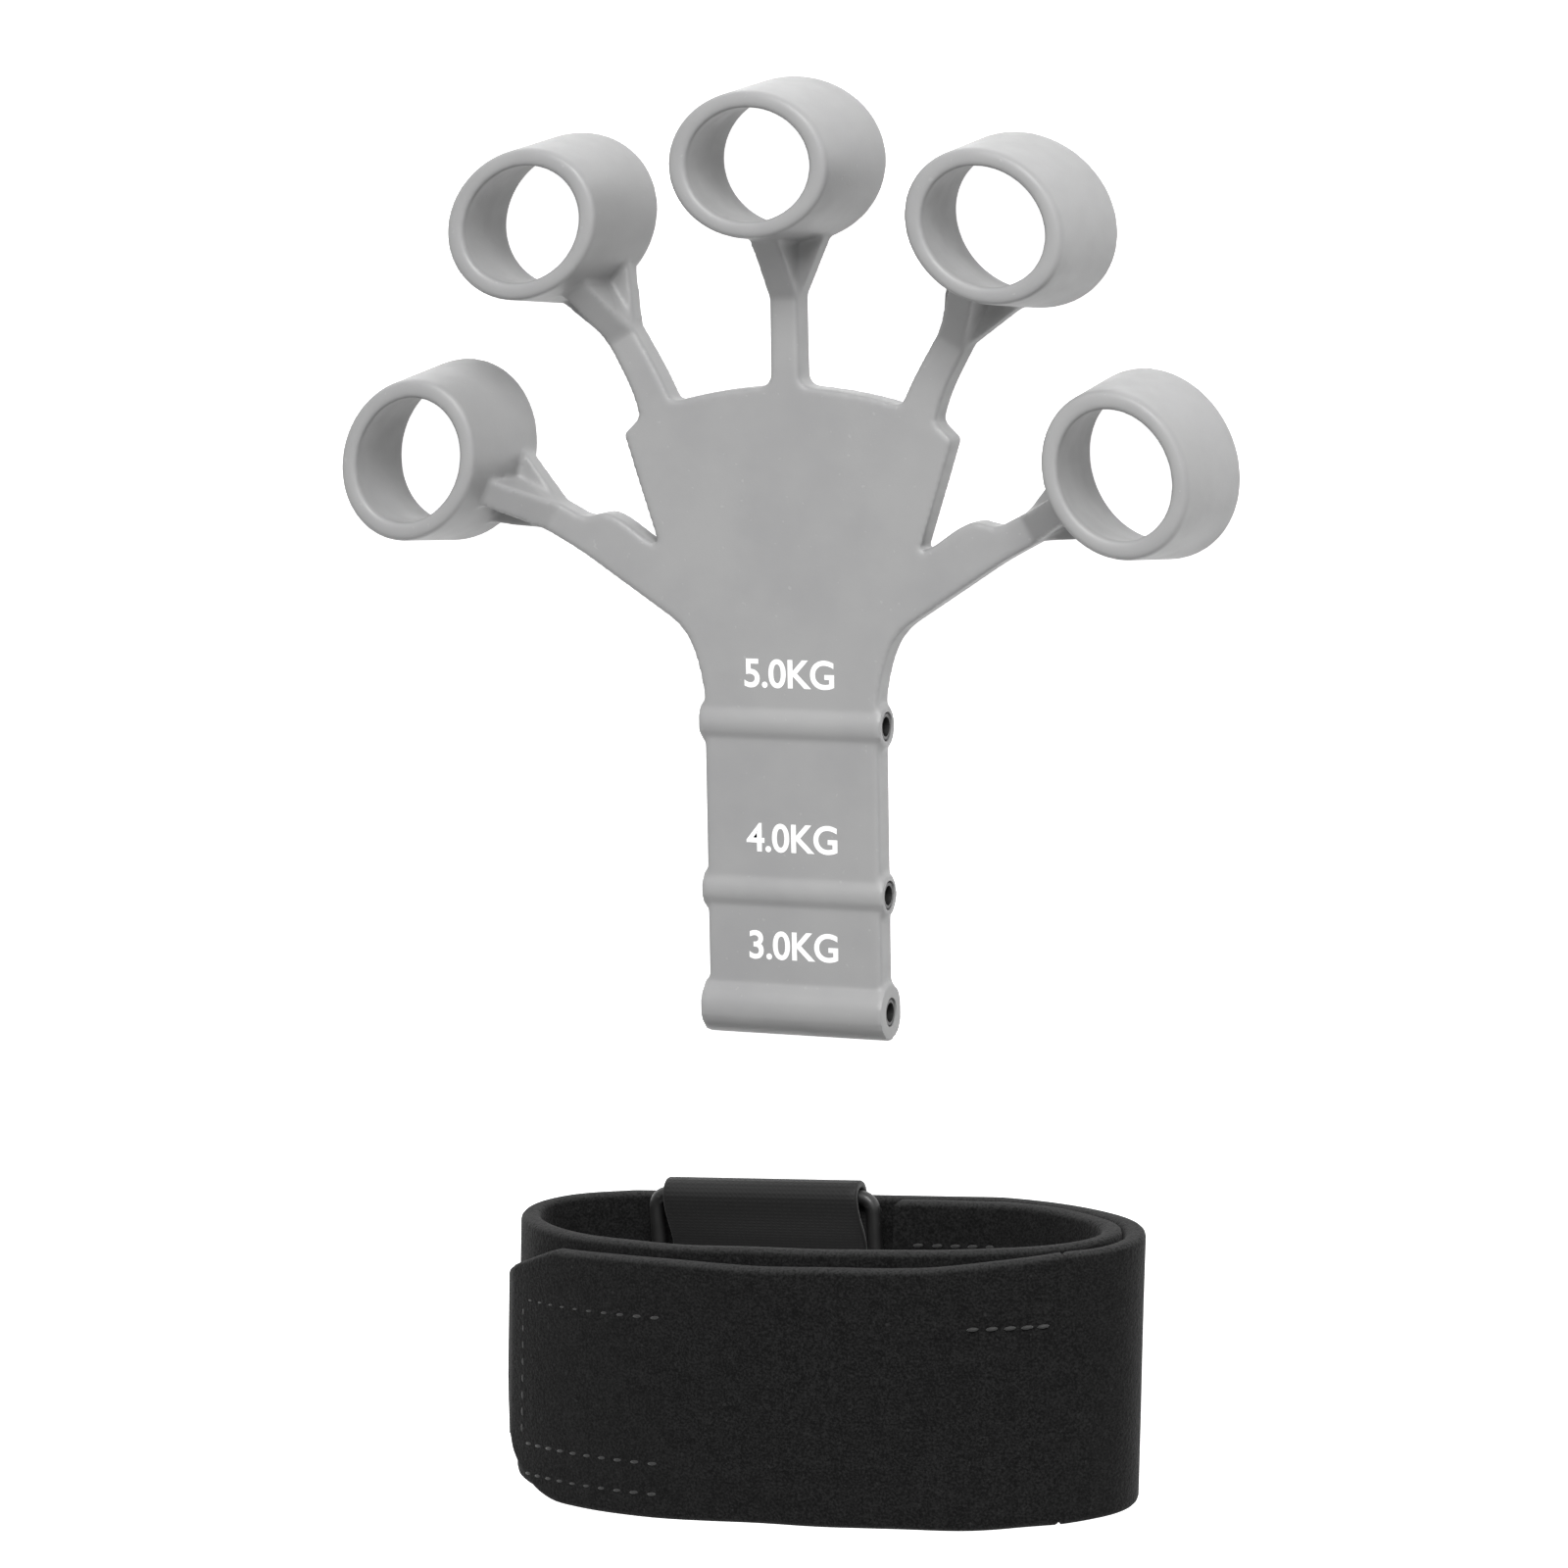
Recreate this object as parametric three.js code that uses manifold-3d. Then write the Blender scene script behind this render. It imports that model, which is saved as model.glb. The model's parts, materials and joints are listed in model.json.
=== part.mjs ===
// Finger exerciser: a silicone hand harness with five finger loops, and the wrist strap that anchors it.
// Millimetres, +Z up. Both items lie on a table at z = 0: +Y runs from the wrist to the fingertips and
// +X runs from the thumb loop to the little-finger loop. The harness is drawn from the middle of its
// lowest rib, and at the end the whole object is moved so that the origin is under its middle.
import * as THREE from "three";
import { mergeVertices } from "three/addons/utils/BufferGeometryUtils.js";
import { ConvexGeometry } from "three/addons/geometries/ConvexGeometry.js";
import Module from "manifold-3d";

const wasm = await Module();
wasm.setup();

// ---------------------------------------------------------------- driving dimensions
const GAP = 0.3; // clearance between pieces that touch
const OVERCUT = 1; // how far a cutter runs past the face it cuts

// Silicone sheet: palm, stem and arms
const SHEET = 4.8; // thickness of the sheet
const STEM_HALF = 14; // half the width of the stem
const STEM_LENGTH = 50; // from the lowest rib to where the straight stem starts to widen
const PALM_LENGTH = 44; // from there to the crown of the arched top edge
const PALM_HALF = 26.5; // half the width at the shoulders
const PALM_ARCH = 2.4; // how far the arch drops before the outer fingers
const PALM_TOP = STEM_LENGTH + PALM_LENGTH;
const SHOULDER = [PALM_HALF, PALM_TOP - 7.6]; // point of the shoulder under the index arm
const NOTCH = [PALM_HALF - 2.9, PALM_TOP - 5.1]; // inner corner between shoulder and index arm
const ARMPIT = [PALM_HALF - 5.5, PALM_TOP - 24.8]; // corner between palm and thumb arm
const WAIST = [STEM_HALF + 4, PALM_TOP - 35.4]; // where the stem's curve runs into the thumb arm

// Cross ribs that the wire clip snaps into, lowest first
const RIBS = [
  { name: "rib_liner_low", y: 0, radius: 4.3 },
  { name: "rib_liner_mid", y: STEM_LENGTH - 32.2, radius: 3.1 },
  { name: "rib_liner_high", y: STEM_LENGTH - 6.7, radius: 3.2 },
];
const RIB_LENGTH = 2 * STEM_HALF + 1.4;
const LINER_BORE = 3; // inside diameter of the liner tube
const LINER_WALL = 0.45;
const LINER_RECESS = 0.2; // how far each liner end sits inside the rib's end

// Finger loops: an oval tube that widens towards the back of the hand
const LOOP_DEPTH = 20;
const LOOP_WALL = 2.5;
const LOOP_FRONT = 10.7; // outer half height at the front rim
const LOOP_BACK = 12.4; // outer half height at the back rim
const LOOP_OVAL = 1.17; // width over height
const LIP = 0.6; // chamfer on the rims

// Arms. The thumb and little finger stand off the palm's sides and the others off its top edge. "reach"
// runs from the loop's centre to the hinge line at the arm's root, "step" to where the root narrows, and
// "low" and "high" are the root's half widths on its wrist side and fingertip side.
const CREASE = 20.5; // from the loop's centre to the crease where the gusset starts
const GUSSET_TOP = 14.2; // height at which the gusset meets the loop
const GUSSET_FOOT = 6.3; // half width of the gusset where it meets the loop at the back
const THUMB = { x: PALM_HALF + 29.6, y: PALM_TOP - 10.9, turn: 62, reach: 30, low: 2.8, high: 4.9, step: 27 };
const INDEX = { x: PALM_HALF + 10, y: PALM_TOP + 24.5, turn: 30, reach: 27.5, low: 2.7, high: 2.7, step: 26 };
const MIDDLE = { x: 0, y: PALM_TOP + 33.3, turn: 0, reach: 29, low: 2.5, high: 2.5, step: 27.5 };
const FINGERS = [
  { name: "thumb", ...THUMB, x: -THUMB.x },
  { name: "index", ...INDEX, x: -INDEX.x },
  { name: "middle", ...MIDDLE },
  { name: "ring_finger", ...INDEX, turn: -INDEX.turn },
  { name: "little", ...THUMB, turn: -THUMB.turn },
];
const ARM_HALF = 2.3; // half the width of an arm past its root
const STEP_RAMP = 1.6; // how far the arm takes to narrow from its root

// Wrist strap: one band wound about one and a half times round a flattened oval
const STRAP_PLACE = [8.6, -29, 0]; // top of the rim above the oval's centre line
const STRAP_TURN = 2.8; // how far the strap lies turned on the table, in degrees
const BAND_WIDTH = 40;
const BAND = 3; // thickness of the laminated band
const OVAL_X = 52; // half the oval's width
const OVAL_Z = 24.6; // half its height before it settles on the table
const OVAL_POWER = 2.25; // 2 is an ellipse, more is squarer
const SETTLE = 3.4; // how much of the underside the table flattens
const LEAN = 0.4; // sideways slump for each millimetre of height
const SKEW = 0.09; // how far the band's far edge has slipped to the left, for each millimetre of width
const HOOK = 1.2; // thickness of the hook patch
const FLAP_INSET = 1.5; // the flap's edge stands this far behind the rim
const FLAP_CHAMFER = 5;
const FLAP_ROUND = 14;
const ANGLES = { start: -76, sewn: -15, parted: 30, hinge: 42, patch: 112, patchEnd: 156, end: 166, joined: 228 };

// Wire clip and the fabric tunnel that holds it, on the flat part of the band's underside
const KEEPER_LENGTH = 0.635 * OVAL_X;
const KEEPER_PLY = 1.2;
const KEEPER_TAIL = 12.2;
const WIRE = 2.2; // wire diameter
const CLIP_HALF = KEEPER_LENGTH / 2 + 0.64 * WIRE; // half the distance between the arms' centre lines
const START_X = 0.283 * OVAL_X - LEAN * (OVAL_Z - SETTLE); // where the band's start lies, from the oval's centre
const KEEPER_X = START_X - 1.78 - CLIP_HALF - WIRE / 2; // centre of the tunnel: the clip just clears that start
const CLIP_ARM = 16;
const CLIP_TIP = 6.2; // how far each tip turns inwards
const CLIP_BEND = 2.6; // bend radius
const BAR_Y = 0.6; // the bar runs just past the strap's rim

// ---------------------------------------------------------------- derived places
const KNUCKLE = SHEET / 2; // radius of an arm's rounded root
const MID = Math.max(...RIBS.map((rib) => rib.radius)); // height of the sheet's middle plane
const FLOOR_OF_SHEET = MID - SHEET / 2;
const ROOF_OF_SHEET = MID + SHEET / 2;
const OVAL_MID = OVAL_Z - SETTLE; // height of the oval's centre
const KEEPER_RADIUS = WIRE / 2 + GAP + KEEPER_PLY;
const BAR_Z = BAND + GAP + KEEPER_RADIUS;
const OUTER_LAYER = -BAND / 2;
const SEWN_LAYER = OUTER_LAYER - BAND - GAP;
const UNDER_FLAP = OUTER_LAYER - BAND - HOOK - 2 * GAP;
const RAD = Math.PI / 180;

// ---------------------------------------------------------------- materials
const finish = (color, roughness, metalness = 0) => new THREE.MeshStandardMaterial({ color, roughness, metalness });
const silicone = () => finish(0xa9a9aa, 0.5);
const linerPlastic = () => finish(0x141414, 0.45);
const strapFabric = () => finish(0x1d1d1f, 0.95);
const hookFabric = () => finish(0x101011, 0.8);
const webbing = () => finish(0x1a1a1c, 0.7);
const coatedSteel = () => finish(0x18181a, 0.35, 0.6);

// ---------------------------------------------------------------- solids
// Turns a closed geometry into a solid that can be joined and cut.
function solid(geometry) {
  const bare = geometry.index ? geometry.toNonIndexed() : geometry.clone();
  bare.deleteAttribute("normal");
  bare.deleteAttribute("uv");
  const merged = mergeVertices(bare, 1e-4);
  const vertProperties = merged.attributes.position.array;
  const triVerts = new Uint32Array(merged.index.array);
  return new wasm.Manifold(new wasm.Mesh({ numProp: 3, vertProperties, triVerts }));
}

// Turns a solid back into a geometry.
function geometryOf(made) {
  const mesh = made.getMesh();
  const geometry = new THREE.BufferGeometry();
  geometry.setAttribute("position", new THREE.BufferAttribute(mesh.vertProperties, 3));
  geometry.setIndex(new THREE.BufferAttribute(mesh.triVerts, 1));
  geometry.computeVertexNormals();
  return geometry;
}

function named(name, geometry, material) {
  const mesh = new THREE.Mesh(geometry, material);
  mesh.name = name;
  return mesh;
}

const outline = (points) => new THREE.Shape(points.map(([x, y]) => new THREE.Vector2(x, y)));

// Extrudes a plan outline (x, y) upwards from z = bottom.
function upright(shape, bottom, height) {
  const geometry = new THREE.ExtrudeGeometry(shape, { depth: height, bevelEnabled: false, curveSegments: 10 });
  return geometry.translate(0, 0, bottom);
}

// Extrudes a side outline (y, z) along X, centred on x = 0.
function across(shape, width) {
  const geometry = new THREE.ExtrudeGeometry(shape, { depth: width, bevelEnabled: false, curveSegments: 12 });
  const [x, y, z] = [new THREE.Vector3(1, 0, 0), new THREE.Vector3(0, 1, 0), new THREE.Vector3(0, 0, 1)];
  geometry.translate(0, 0, -width / 2);
  return geometry.applyMatrix4(new THREE.Matrix4().makeBasis(y, z, x));
}

// A round bar along X.
function barAcross(radius, length, y, z) {
  return new THREE.CylinderGeometry(radius, radius, length, 24).rotateZ(Math.PI / 2).translate(0, y, z);
}

// ---------------------------------------------------------------- harness
// A point beside a finger's centre line: "back" from the loop's centre, "side" to its right.
function besideFinger(finger, back, side) {
  const turn = finger.turn * RAD;
  const along = [-Math.sin(turn), Math.cos(turn)];
  const right = [Math.cos(turn), Math.sin(turn)];
  return [finger.x - along[0] * back + right[0] * side, finger.y - along[1] * back + right[1] * side];
}

// The palm and stem as one outline: the little-finger half is drawn, then mirrored.
function palmOutline() {
  const [, , middle, ringFinger, little] = FINGERS;
  const stubEnd = (finger) => finger.reach + KNUCKLE + GAP;
  const half = new THREE.Path();
  half.moveTo(STEM_HALF, 0);
  half.lineTo(STEM_HALF, STEM_LENGTH);
  half.quadraticCurveTo(STEM_HALF, (STEM_LENGTH + WAIST[1]) / 2 + 1, ...WAIST);
  half.lineTo(...besideFinger(little, stubEnd(little), little.low));
  half.lineTo(...besideFinger(little, stubEnd(little), -little.high));
  half.lineTo(...ARMPIT);
  half.lineTo(...SHOULDER);
  half.lineTo(...NOTCH);
  half.lineTo(...besideFinger(ringFinger, stubEnd(ringFinger), ringFinger.low));
  const rootOfRingFinger = besideFinger(ringFinger, stubEnd(ringFinger), -ringFinger.high);
  half.lineTo(...rootOfRingFinger);
  half.lineTo(rootOfRingFinger[0] - 1, PALM_TOP - PALM_ARCH);
  half.quadraticCurveTo(rootOfRingFinger[0] / 2, PALM_TOP, middle.low, PALM_TOP);
  half.lineTo(middle.low, middle.y - stubEnd(middle));
  const right = half.getPoints(8).map((p) => [p.x, p.y]);
  const left = right.map(([x, y]) => [-x, y]).reverse();
  return outline([...right, ...left]);
}

function palmPad() {
  let pad = solid(upright(palmOutline(), FLOOR_OF_SHEET, SHEET));
  for (const rib of RIBS) pad = pad.add(solid(barAcross(rib.radius, RIB_LENGTH, rib.y, MID)));
  const bore = LINER_BORE / 2 + LINER_WALL + GAP;
  for (const rib of RIBS) pad = pad.subtract(solid(barAcross(bore, RIB_LENGTH + 2 * OVERCUT, rib.y, MID)));
  return named("palm_pad", geometryOf(pad), silicone());
}

// A tube pressed into a rib, so that the clip's tips turn freely and don't tear the silicone.
function ribLiner(rib) {
  const length = RIB_LENGTH - 2 * LINER_RECESS;
  const tube = solid(barAcross(LINER_BORE / 2 + LINER_WALL, length, rib.y, MID));
  const hole = solid(barAcross(LINER_BORE / 2, length + 2 * OVERCUT, rib.y, MID));
  return named(rib.name, geometryOf(tube.subtract(hole)), linerPlastic());
}

// The oval tube round a finger, in the finger's own frame: the loop's centre is at the origin.
function loopTube() {
  const [backIn, frontIn] = [LOOP_BACK - LOOP_WALL, LOOP_FRONT - LOOP_WALL];
  const profile = [
    [backIn, LIP],
    [backIn + LIP, 0],
    [LOOP_BACK - LIP, 0],
    [LOOP_BACK, LIP],
    [LOOP_FRONT, LOOP_DEPTH - LIP],
    [LOOP_FRONT - LIP, LOOP_DEPTH],
    [frontIn + LIP, LOOP_DEPTH],
    [frontIn, LOOP_DEPTH - LIP],
    [backIn, LIP],
  ];
  const lathe = new THREE.LatheGeometry(profile.map(([r, z]) => new THREE.Vector2(r, z)), 36);
  return lathe.rotateX(Math.PI / 2).scale(LOOP_OVAL, 1, 1);
}

// What the finger goes through: the inside of the loop as a solid.
function loopBore() {
  const steepness = (LOOP_BACK - LOOP_FRONT) / LOOP_DEPTH;
  const low = LOOP_BACK - LOOP_WALL + steepness * OVERCUT;
  const high = LOOP_FRONT - LOOP_WALL - steepness * OVERCUT;
  const cone = new THREE.CylinderGeometry(high, low, LOOP_DEPTH + 2 * OVERCUT, 36).rotateX(Math.PI / 2);
  return cone.translate(0, 0, LOOP_DEPTH / 2).scale(LOOP_OVAL, 1, 1);
}

// The gusset spreads the arm's pull over the loop: narrow in front, wide at the back.
function gusset() {
  const [backWall, frontWall] = [LOOP_BACK - LOOP_WALL / 2, LOOP_FRONT - LOOP_WALL / 2];
  const points = [];
  for (const side of [-1, 1]) {
    points.push([side * ARM_HALF, -CREASE, FLOOR_OF_SHEET], [side * ARM_HALF, -CREASE, ROOF_OF_SHEET]);
    points.push([side * ARM_HALF, -backWall, FLOOR_OF_SHEET], [side * ARM_HALF, -frontWall, GUSSET_TOP]);
    points.push([side * GUSSET_FOOT, -backWall, FLOOR_OF_SHEET]);
    points.push([side * GUSSET_FOOT * 0.8, -frontWall, ROOF_OF_SHEET]);
  }
  return new ConvexGeometry(points.map((p) => new THREE.Vector3(...p)));
}

function fingerLoop(finger) {
  const loop = solid(loopTube()).add(solid(gusset())).subtract(solid(loopBore()));
  return named(finger.name + "_loop", geometryOf(loop), silicone());
}

// The arm's plan is cut to a side outline whose root is round about the hinge line.
function fingerArm(finger) {
  const [end, root, step] = [-CREASE - GAP, -finger.reach - KNUCKLE, -finger.step];
  const [right, left] = finger.turn > 0 ? [finger.high, finger.low] : [finger.low, finger.high];
  const plan = outline([
    [right, root],
    [right, step],
    [ARM_HALF, step + STEP_RAMP],
    [ARM_HALF, end],
    [-ARM_HALF, end],
    [-ARM_HALF, step + STEP_RAMP],
    [-left, step],
    [-left, root],
  ]);
  const side = new THREE.Shape();
  side.moveTo(end, FLOOR_OF_SHEET);
  side.lineTo(end, ROOF_OF_SHEET);
  side.lineTo(-finger.reach, ROOF_OF_SHEET);
  side.absarc(-finger.reach, MID, KNUCKLE, Math.PI / 2, 1.5 * Math.PI, false);
  const slab = solid(upright(plan, FLOOR_OF_SHEET - OVERCUT, SHEET + 2 * OVERCUT));
  const arm = slab.intersect(solid(across(side, 4 * finger.high)));
  return named(finger.name + "_arm", geometryOf(arm), silicone());
}

function harness() {
  const group = new THREE.Group();
  group.add(palmPad(), ...RIBS.map(ribLiner));
  for (const finger of FINGERS) {
    const place = new THREE.Group();
    place.position.set(finger.x, finger.y, 0);
    place.rotation.z = finger.turn * RAD;
    place.add(fingerArm(finger), fingerLoop(finger));
    group.add(place);
  }
  return group;
}

// ---------------------------------------------------------------- strap
// A point of the oval: "angle" in degrees from its +X end, "offset" outwards from its outer face.
function ovalPoint(angle, offset) {
  const [c, s] = [Math.cos(angle * RAD), Math.sin(angle * RAD)];
  const x = (OVAL_X + offset) * Math.sign(c) * Math.abs(c) ** (2 / OVAL_POWER);
  const round = (OVAL_Z + offset) * Math.sign(s) * Math.abs(s) ** (2 / OVAL_POWER);
  const z = Math.max(round, -OVAL_MID - offset);
  return [x + LEAN * z, z + OVAL_MID];
}

// Eases from a to b while the angle runs from first to last.
const ease = (angle, first, last, a, b) => a + (b - a) * THREE.MathUtils.smoothstep(angle, first, last);

// The band's middle: its start is sewn on top of the back wall, it drops below the flap to leave room
// for the hook patch, and on the far side it moves out to become the outer layer.
function bandOffset(angle) {
  if (angle < ANGLES.end) return ease(angle, ANGLES.sewn, ANGLES.parted, SEWN_LAYER, UNDER_FLAP);
  return ease(angle, ANGLES.end, ANGLES.joined, UNDER_FLAP, OUTER_LAYER);
}

// A strip of even thickness that follows the oval from one angle to another, "width" along -Y.
function ovalStrip(first, last, offsetAt, thickness, width, y) {
  const steps = Math.ceil((last - first) / 4);
  const angles = Array.from({ length: steps + 1 }, (_, i) => first + ((last - first) * i) / steps);
  const outer = angles.map((angle) => ovalPoint(angle, offsetAt(angle) + thickness / 2));
  const inner = angles.map((angle) => ovalPoint(angle, offsetAt(angle) - thickness / 2));
  const shape = outline([...outer, ...inner.reverse()]);
  const strip = new THREE.ExtrudeGeometry(shape, { depth: width, bevelEnabled: false });
  return strip.rotateX(Math.PI / 2).translate(0, y, 0);
}

// The wound band has slipped askew on the table: its far edge lies further left than its rim.
const askew = (geometry) => geometry.applyMatrix4(new THREE.Matrix4().makeShear(0, 0, SKEW, 0, 0, 0));

function strapBand() {
  const last = 360 + ANGLES.hinge;
  const band = ovalStrip(ANGLES.start, last, bandOffset, BAND, BAND_WIDTH, 0);
  return named("strap_band", askew(band), strapFabric());
}

// The flap is the band's outer end. It peels about the band's cut end, and its free end is shaped.
function strapFlap() {
  const clear = (BAND + GAP) / (OVAL_Z * RAD); // room for the flap's root to turn past the cut end
  const width = BAND_WIDTH - FLAP_INSET;
  const strip = ovalStrip(ANGLES.hinge + clear, ANGLES.end, () => OUTER_LAYER, BAND, width, -FLAP_INSET);
  const [left, right] = [-OVAL_X - OVERCUT, OVAL_X + LEAN * OVAL_Z];
  const [near, far] = [-FLAP_INSET, -BAND_WIDTH];
  const [tip] = ovalPoint(ANGLES.end, OUTER_LAYER);
  const plan = new THREE.Shape();
  plan.moveTo(right, far - OVERCUT);
  plan.lineTo(right, near + OVERCUT);
  plan.lineTo(tip + FLAP_CHAMFER, near + OVERCUT);
  plan.lineTo(tip - BAND, near - FLAP_CHAMFER);
  plan.lineTo(left, near - FLAP_CHAMFER);
  plan.lineTo(left, far + FLAP_ROUND);
  plan.absarc(tip - BAND + FLAP_ROUND, far + FLAP_ROUND, FLAP_ROUND, Math.PI, 1.5 * Math.PI, false);
  plan.lineTo(tip + FLAP_ROUND, far - OVERCUT);
  const flap = solid(strip).intersect(solid(upright(plan, -OVERCUT, 2 * OVAL_Z + 2 * OVERCUT)));
  return named("strap_flap", askew(geometryOf(flap)), strapFabric());
}

function hookPatch() {
  const offset = OUTER_LAYER - BAND / 2 - GAP - HOOK / 2;
  const margin = 4; // between the patch and the flap's edges
  const width = BAND_WIDTH - FLAP_INSET - 2 * margin;
  const strip = ovalStrip(ANGLES.patch, ANGLES.patchEnd, () => offset, HOOK, width, -FLAP_INSET - margin);
  return named("hook_patch", askew(strip), hookFabric());
}

// Webbing folded round the clip's bar and sewn to the inside of the back wall.
function wireKeeper() {
  const shape = new THREE.Shape();
  const tailTop = BAR_Z - KEEPER_RADIUS + 2 * KEEPER_PLY;
  const meet = Math.PI + Math.asin((BAR_Z - tailTop) / KEEPER_RADIUS); // where the fold meets the tail
  shape.moveTo(BAR_Y - KEEPER_TAIL, BAR_Z - KEEPER_RADIUS);
  shape.lineTo(BAR_Y, BAR_Z - KEEPER_RADIUS);
  shape.absarc(BAR_Y, BAR_Z, KEEPER_RADIUS, -Math.PI / 2, meet, false);
  shape.lineTo(BAR_Y - KEEPER_TAIL, tailTop);
  shape.holes.push(new THREE.Path().absarc(BAR_Y, BAR_Z, WIRE / 2 + GAP, 0, 2 * Math.PI, true));
  const geometry = across(shape, KEEPER_LENGTH).translate(KEEPER_X, 0, 0);
  return named("wire_keeper", geometry, webbing());
}

// One bent steel wire: tip, arm, bar, arm, tip, lying folded back inside the strap.
function wireClip() {
  const half = [
    [CLIP_HALF - CLIP_TIP, -CLIP_ARM],
    [CLIP_HALF, -CLIP_ARM],
    [CLIP_HALF, 0],
  ];
  const corners = [...half, ...half.map(([x, y]) => [-x, y]).reverse()];
  const points = corners.map(([x, y]) => new THREE.Vector3(x + KEEPER_X, y + BAR_Y, BAR_Z));
  const route = new THREE.CurvePath();
  let from = points[0];
  points.slice(1, -1).forEach((corner, i) => {
    const before = corner.clone().add(points[i].clone().sub(corner).setLength(CLIP_BEND));
    const after = corner.clone().add(points[i + 2].clone().sub(corner).setLength(CLIP_BEND));
    route.add(new THREE.LineCurve3(from, before));
    route.add(new THREE.QuadraticBezierCurve3(before, corner, after));
    from = after;
  });
  route.add(new THREE.LineCurve3(from, points.at(-1)));
  const section = new THREE.Shape().absarc(0, 0, WIRE / 2, 0, 2 * Math.PI, false);
  const options = { steps: 90, curveSegments: 10, extrudePath: route, bevelEnabled: false };
  return named("wire_clip", new THREE.ExtrudeGeometry(section, options), coatedSteel());
}

function strap() {
  const group = new THREE.Group();
  group.position.set(...STRAP_PLACE);
  group.rotation.z = STRAP_TURN * RAD;
  group.add(strapBand(), strapFlap(), hookPatch(), wireKeeper(), wireClip());
  return group;
}

// ---------------------------------------------------------------- the whole object
const exerciser = new THREE.Group();
exerciser.add(harness(), strap());
const middle = new THREE.Box3().setFromObject(exerciser, true).getCenter(new THREE.Vector3());
exerciser.position.set(-middle.x, -middle.y, 0);

export default exerciser;
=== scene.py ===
# %% [markdown]
# # A finger exerciser: silicone hand harness and wrist strap
# The imported frame already holds every size, every joint and every mounting face. This notebook dresses it.
# We load the frame first. The finished model has to stay inside it.

# %% Load the frame
import json
import math

import bmesh
import bpy
from mathutils import Matrix, Vector, noise


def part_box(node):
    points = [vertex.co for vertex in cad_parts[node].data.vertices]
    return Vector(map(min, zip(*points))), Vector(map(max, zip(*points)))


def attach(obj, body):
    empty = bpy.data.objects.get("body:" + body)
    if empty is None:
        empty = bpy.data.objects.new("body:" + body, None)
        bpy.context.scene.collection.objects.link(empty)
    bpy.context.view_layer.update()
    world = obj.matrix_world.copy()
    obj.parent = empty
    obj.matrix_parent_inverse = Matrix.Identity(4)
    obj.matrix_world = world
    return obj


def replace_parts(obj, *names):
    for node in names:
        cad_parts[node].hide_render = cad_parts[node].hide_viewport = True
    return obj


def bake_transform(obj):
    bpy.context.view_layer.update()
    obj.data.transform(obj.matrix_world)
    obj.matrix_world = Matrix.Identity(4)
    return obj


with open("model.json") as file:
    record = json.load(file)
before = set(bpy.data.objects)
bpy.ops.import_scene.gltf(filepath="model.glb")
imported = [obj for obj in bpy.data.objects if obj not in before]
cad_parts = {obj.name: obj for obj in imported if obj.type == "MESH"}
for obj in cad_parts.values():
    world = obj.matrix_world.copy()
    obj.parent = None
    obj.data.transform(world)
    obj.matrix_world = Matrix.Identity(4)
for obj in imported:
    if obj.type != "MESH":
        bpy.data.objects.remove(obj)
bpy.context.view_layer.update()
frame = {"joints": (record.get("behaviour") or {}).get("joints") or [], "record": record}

# %% [markdown]
# A maker thinks in millimetres, and Blender's frame is in metres. Every shape below is drawn in
# millimetres from a point that is easy to find on the real thing: the harness from the middle of its lowest
# rib, and the strap from the middle of its rim. Two matrices then put the finished meshes in their places.

# %% The harness's own frame
MM = 0.001
joints = {joint["name"]: joint for joint in frame["joints"]}


def middle_of(node):
    low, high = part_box(node)
    return (low + high) / 2


rib_middles = [middle_of(name) for name in ("rib_liner_low", "rib_liner_mid", "rib_liner_high")]
home = Vector((rib_middles[0].x, rib_middles[0].y, 0))
HARNESS = Matrix.Translation(home) @ Matrix.Scale(MM, 4)
MID = rib_middles[0].z / MM
rib_places = [(middle.y - home.y) / MM for middle in rib_middles]
print("middle of the sheet is", round(MID, 2), "mm above the table")
print("ribs at", [round(y, 1) for y in rib_places], "mm from the lowest")

# %% [markdown]
# Each finger has its own direction. The record already knows it: the arm stretches along the slide joint's
# axis, the root bends about the hinge joint, and the finger's hole is stated as an opening.

# %% Where the fingers are
FINGERS = ["thumb", "index", "middle", "ring_finger", "little"]
holes = {hole["name"]: hole["box_m"] for hole in frame["record"]["physics"]["openings"]}


class Finger:
    """A finger's centre line: 'back' runs from the loop's centre to the palm, 'side' to its right."""

    def __init__(self, name):
        low, high = (Vector(corner) for corner in holes[name + "_hole"])
        self.name = name
        self.centre = ((low + high) / 2 - home) / MM
        self.centre.z = 0
        self.along = Vector(joints[name + "_stretch"]["axis"]).normalized()
        self.right = Vector((self.along.y, -self.along.x, 0))
        hinge = (Vector(joints[name + "_flex"]["pos_m"]) - home) / MM
        self.reach = (self.centre - hinge).dot(self.along)
        turn = math.atan2(-self.along.x, self.along.y)
        self.matrix = Matrix.Translation(self.centre) @ Matrix.Rotation(turn, 4, "Z")

    def at(self, back, side=0.0, z=0.0):
        return self.centre - self.along * back + self.right * side + Vector((0, 0, z))

    def place(self, back):
        """The same point in the row frame, in metres, at the sheet's middle."""
        return HARNESS @ self.at(back, 0, MID)


fingers = {name: Finger(name) for name in FINGERS}
for finger in fingers.values():
    print(finger.name, "loop centre", [round(v, 1) for v in finger.centre], "reach", round(finger.reach, 1))

# %% [markdown]
# Two small helpers turn a bmesh into an object and bake modifiers into its mesh. Every finished object stays
# at the origin, with its place in its mesh, so that patterns in object space stay put.

# %% Objects from bmeshes
def new_object(name, bm):
    mesh = bpy.data.meshes.new(name)
    bm.to_mesh(mesh)
    bm.free()
    obj = bpy.data.objects.new(name, mesh)
    bpy.context.scene.collection.objects.link(obj)
    return obj


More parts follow.
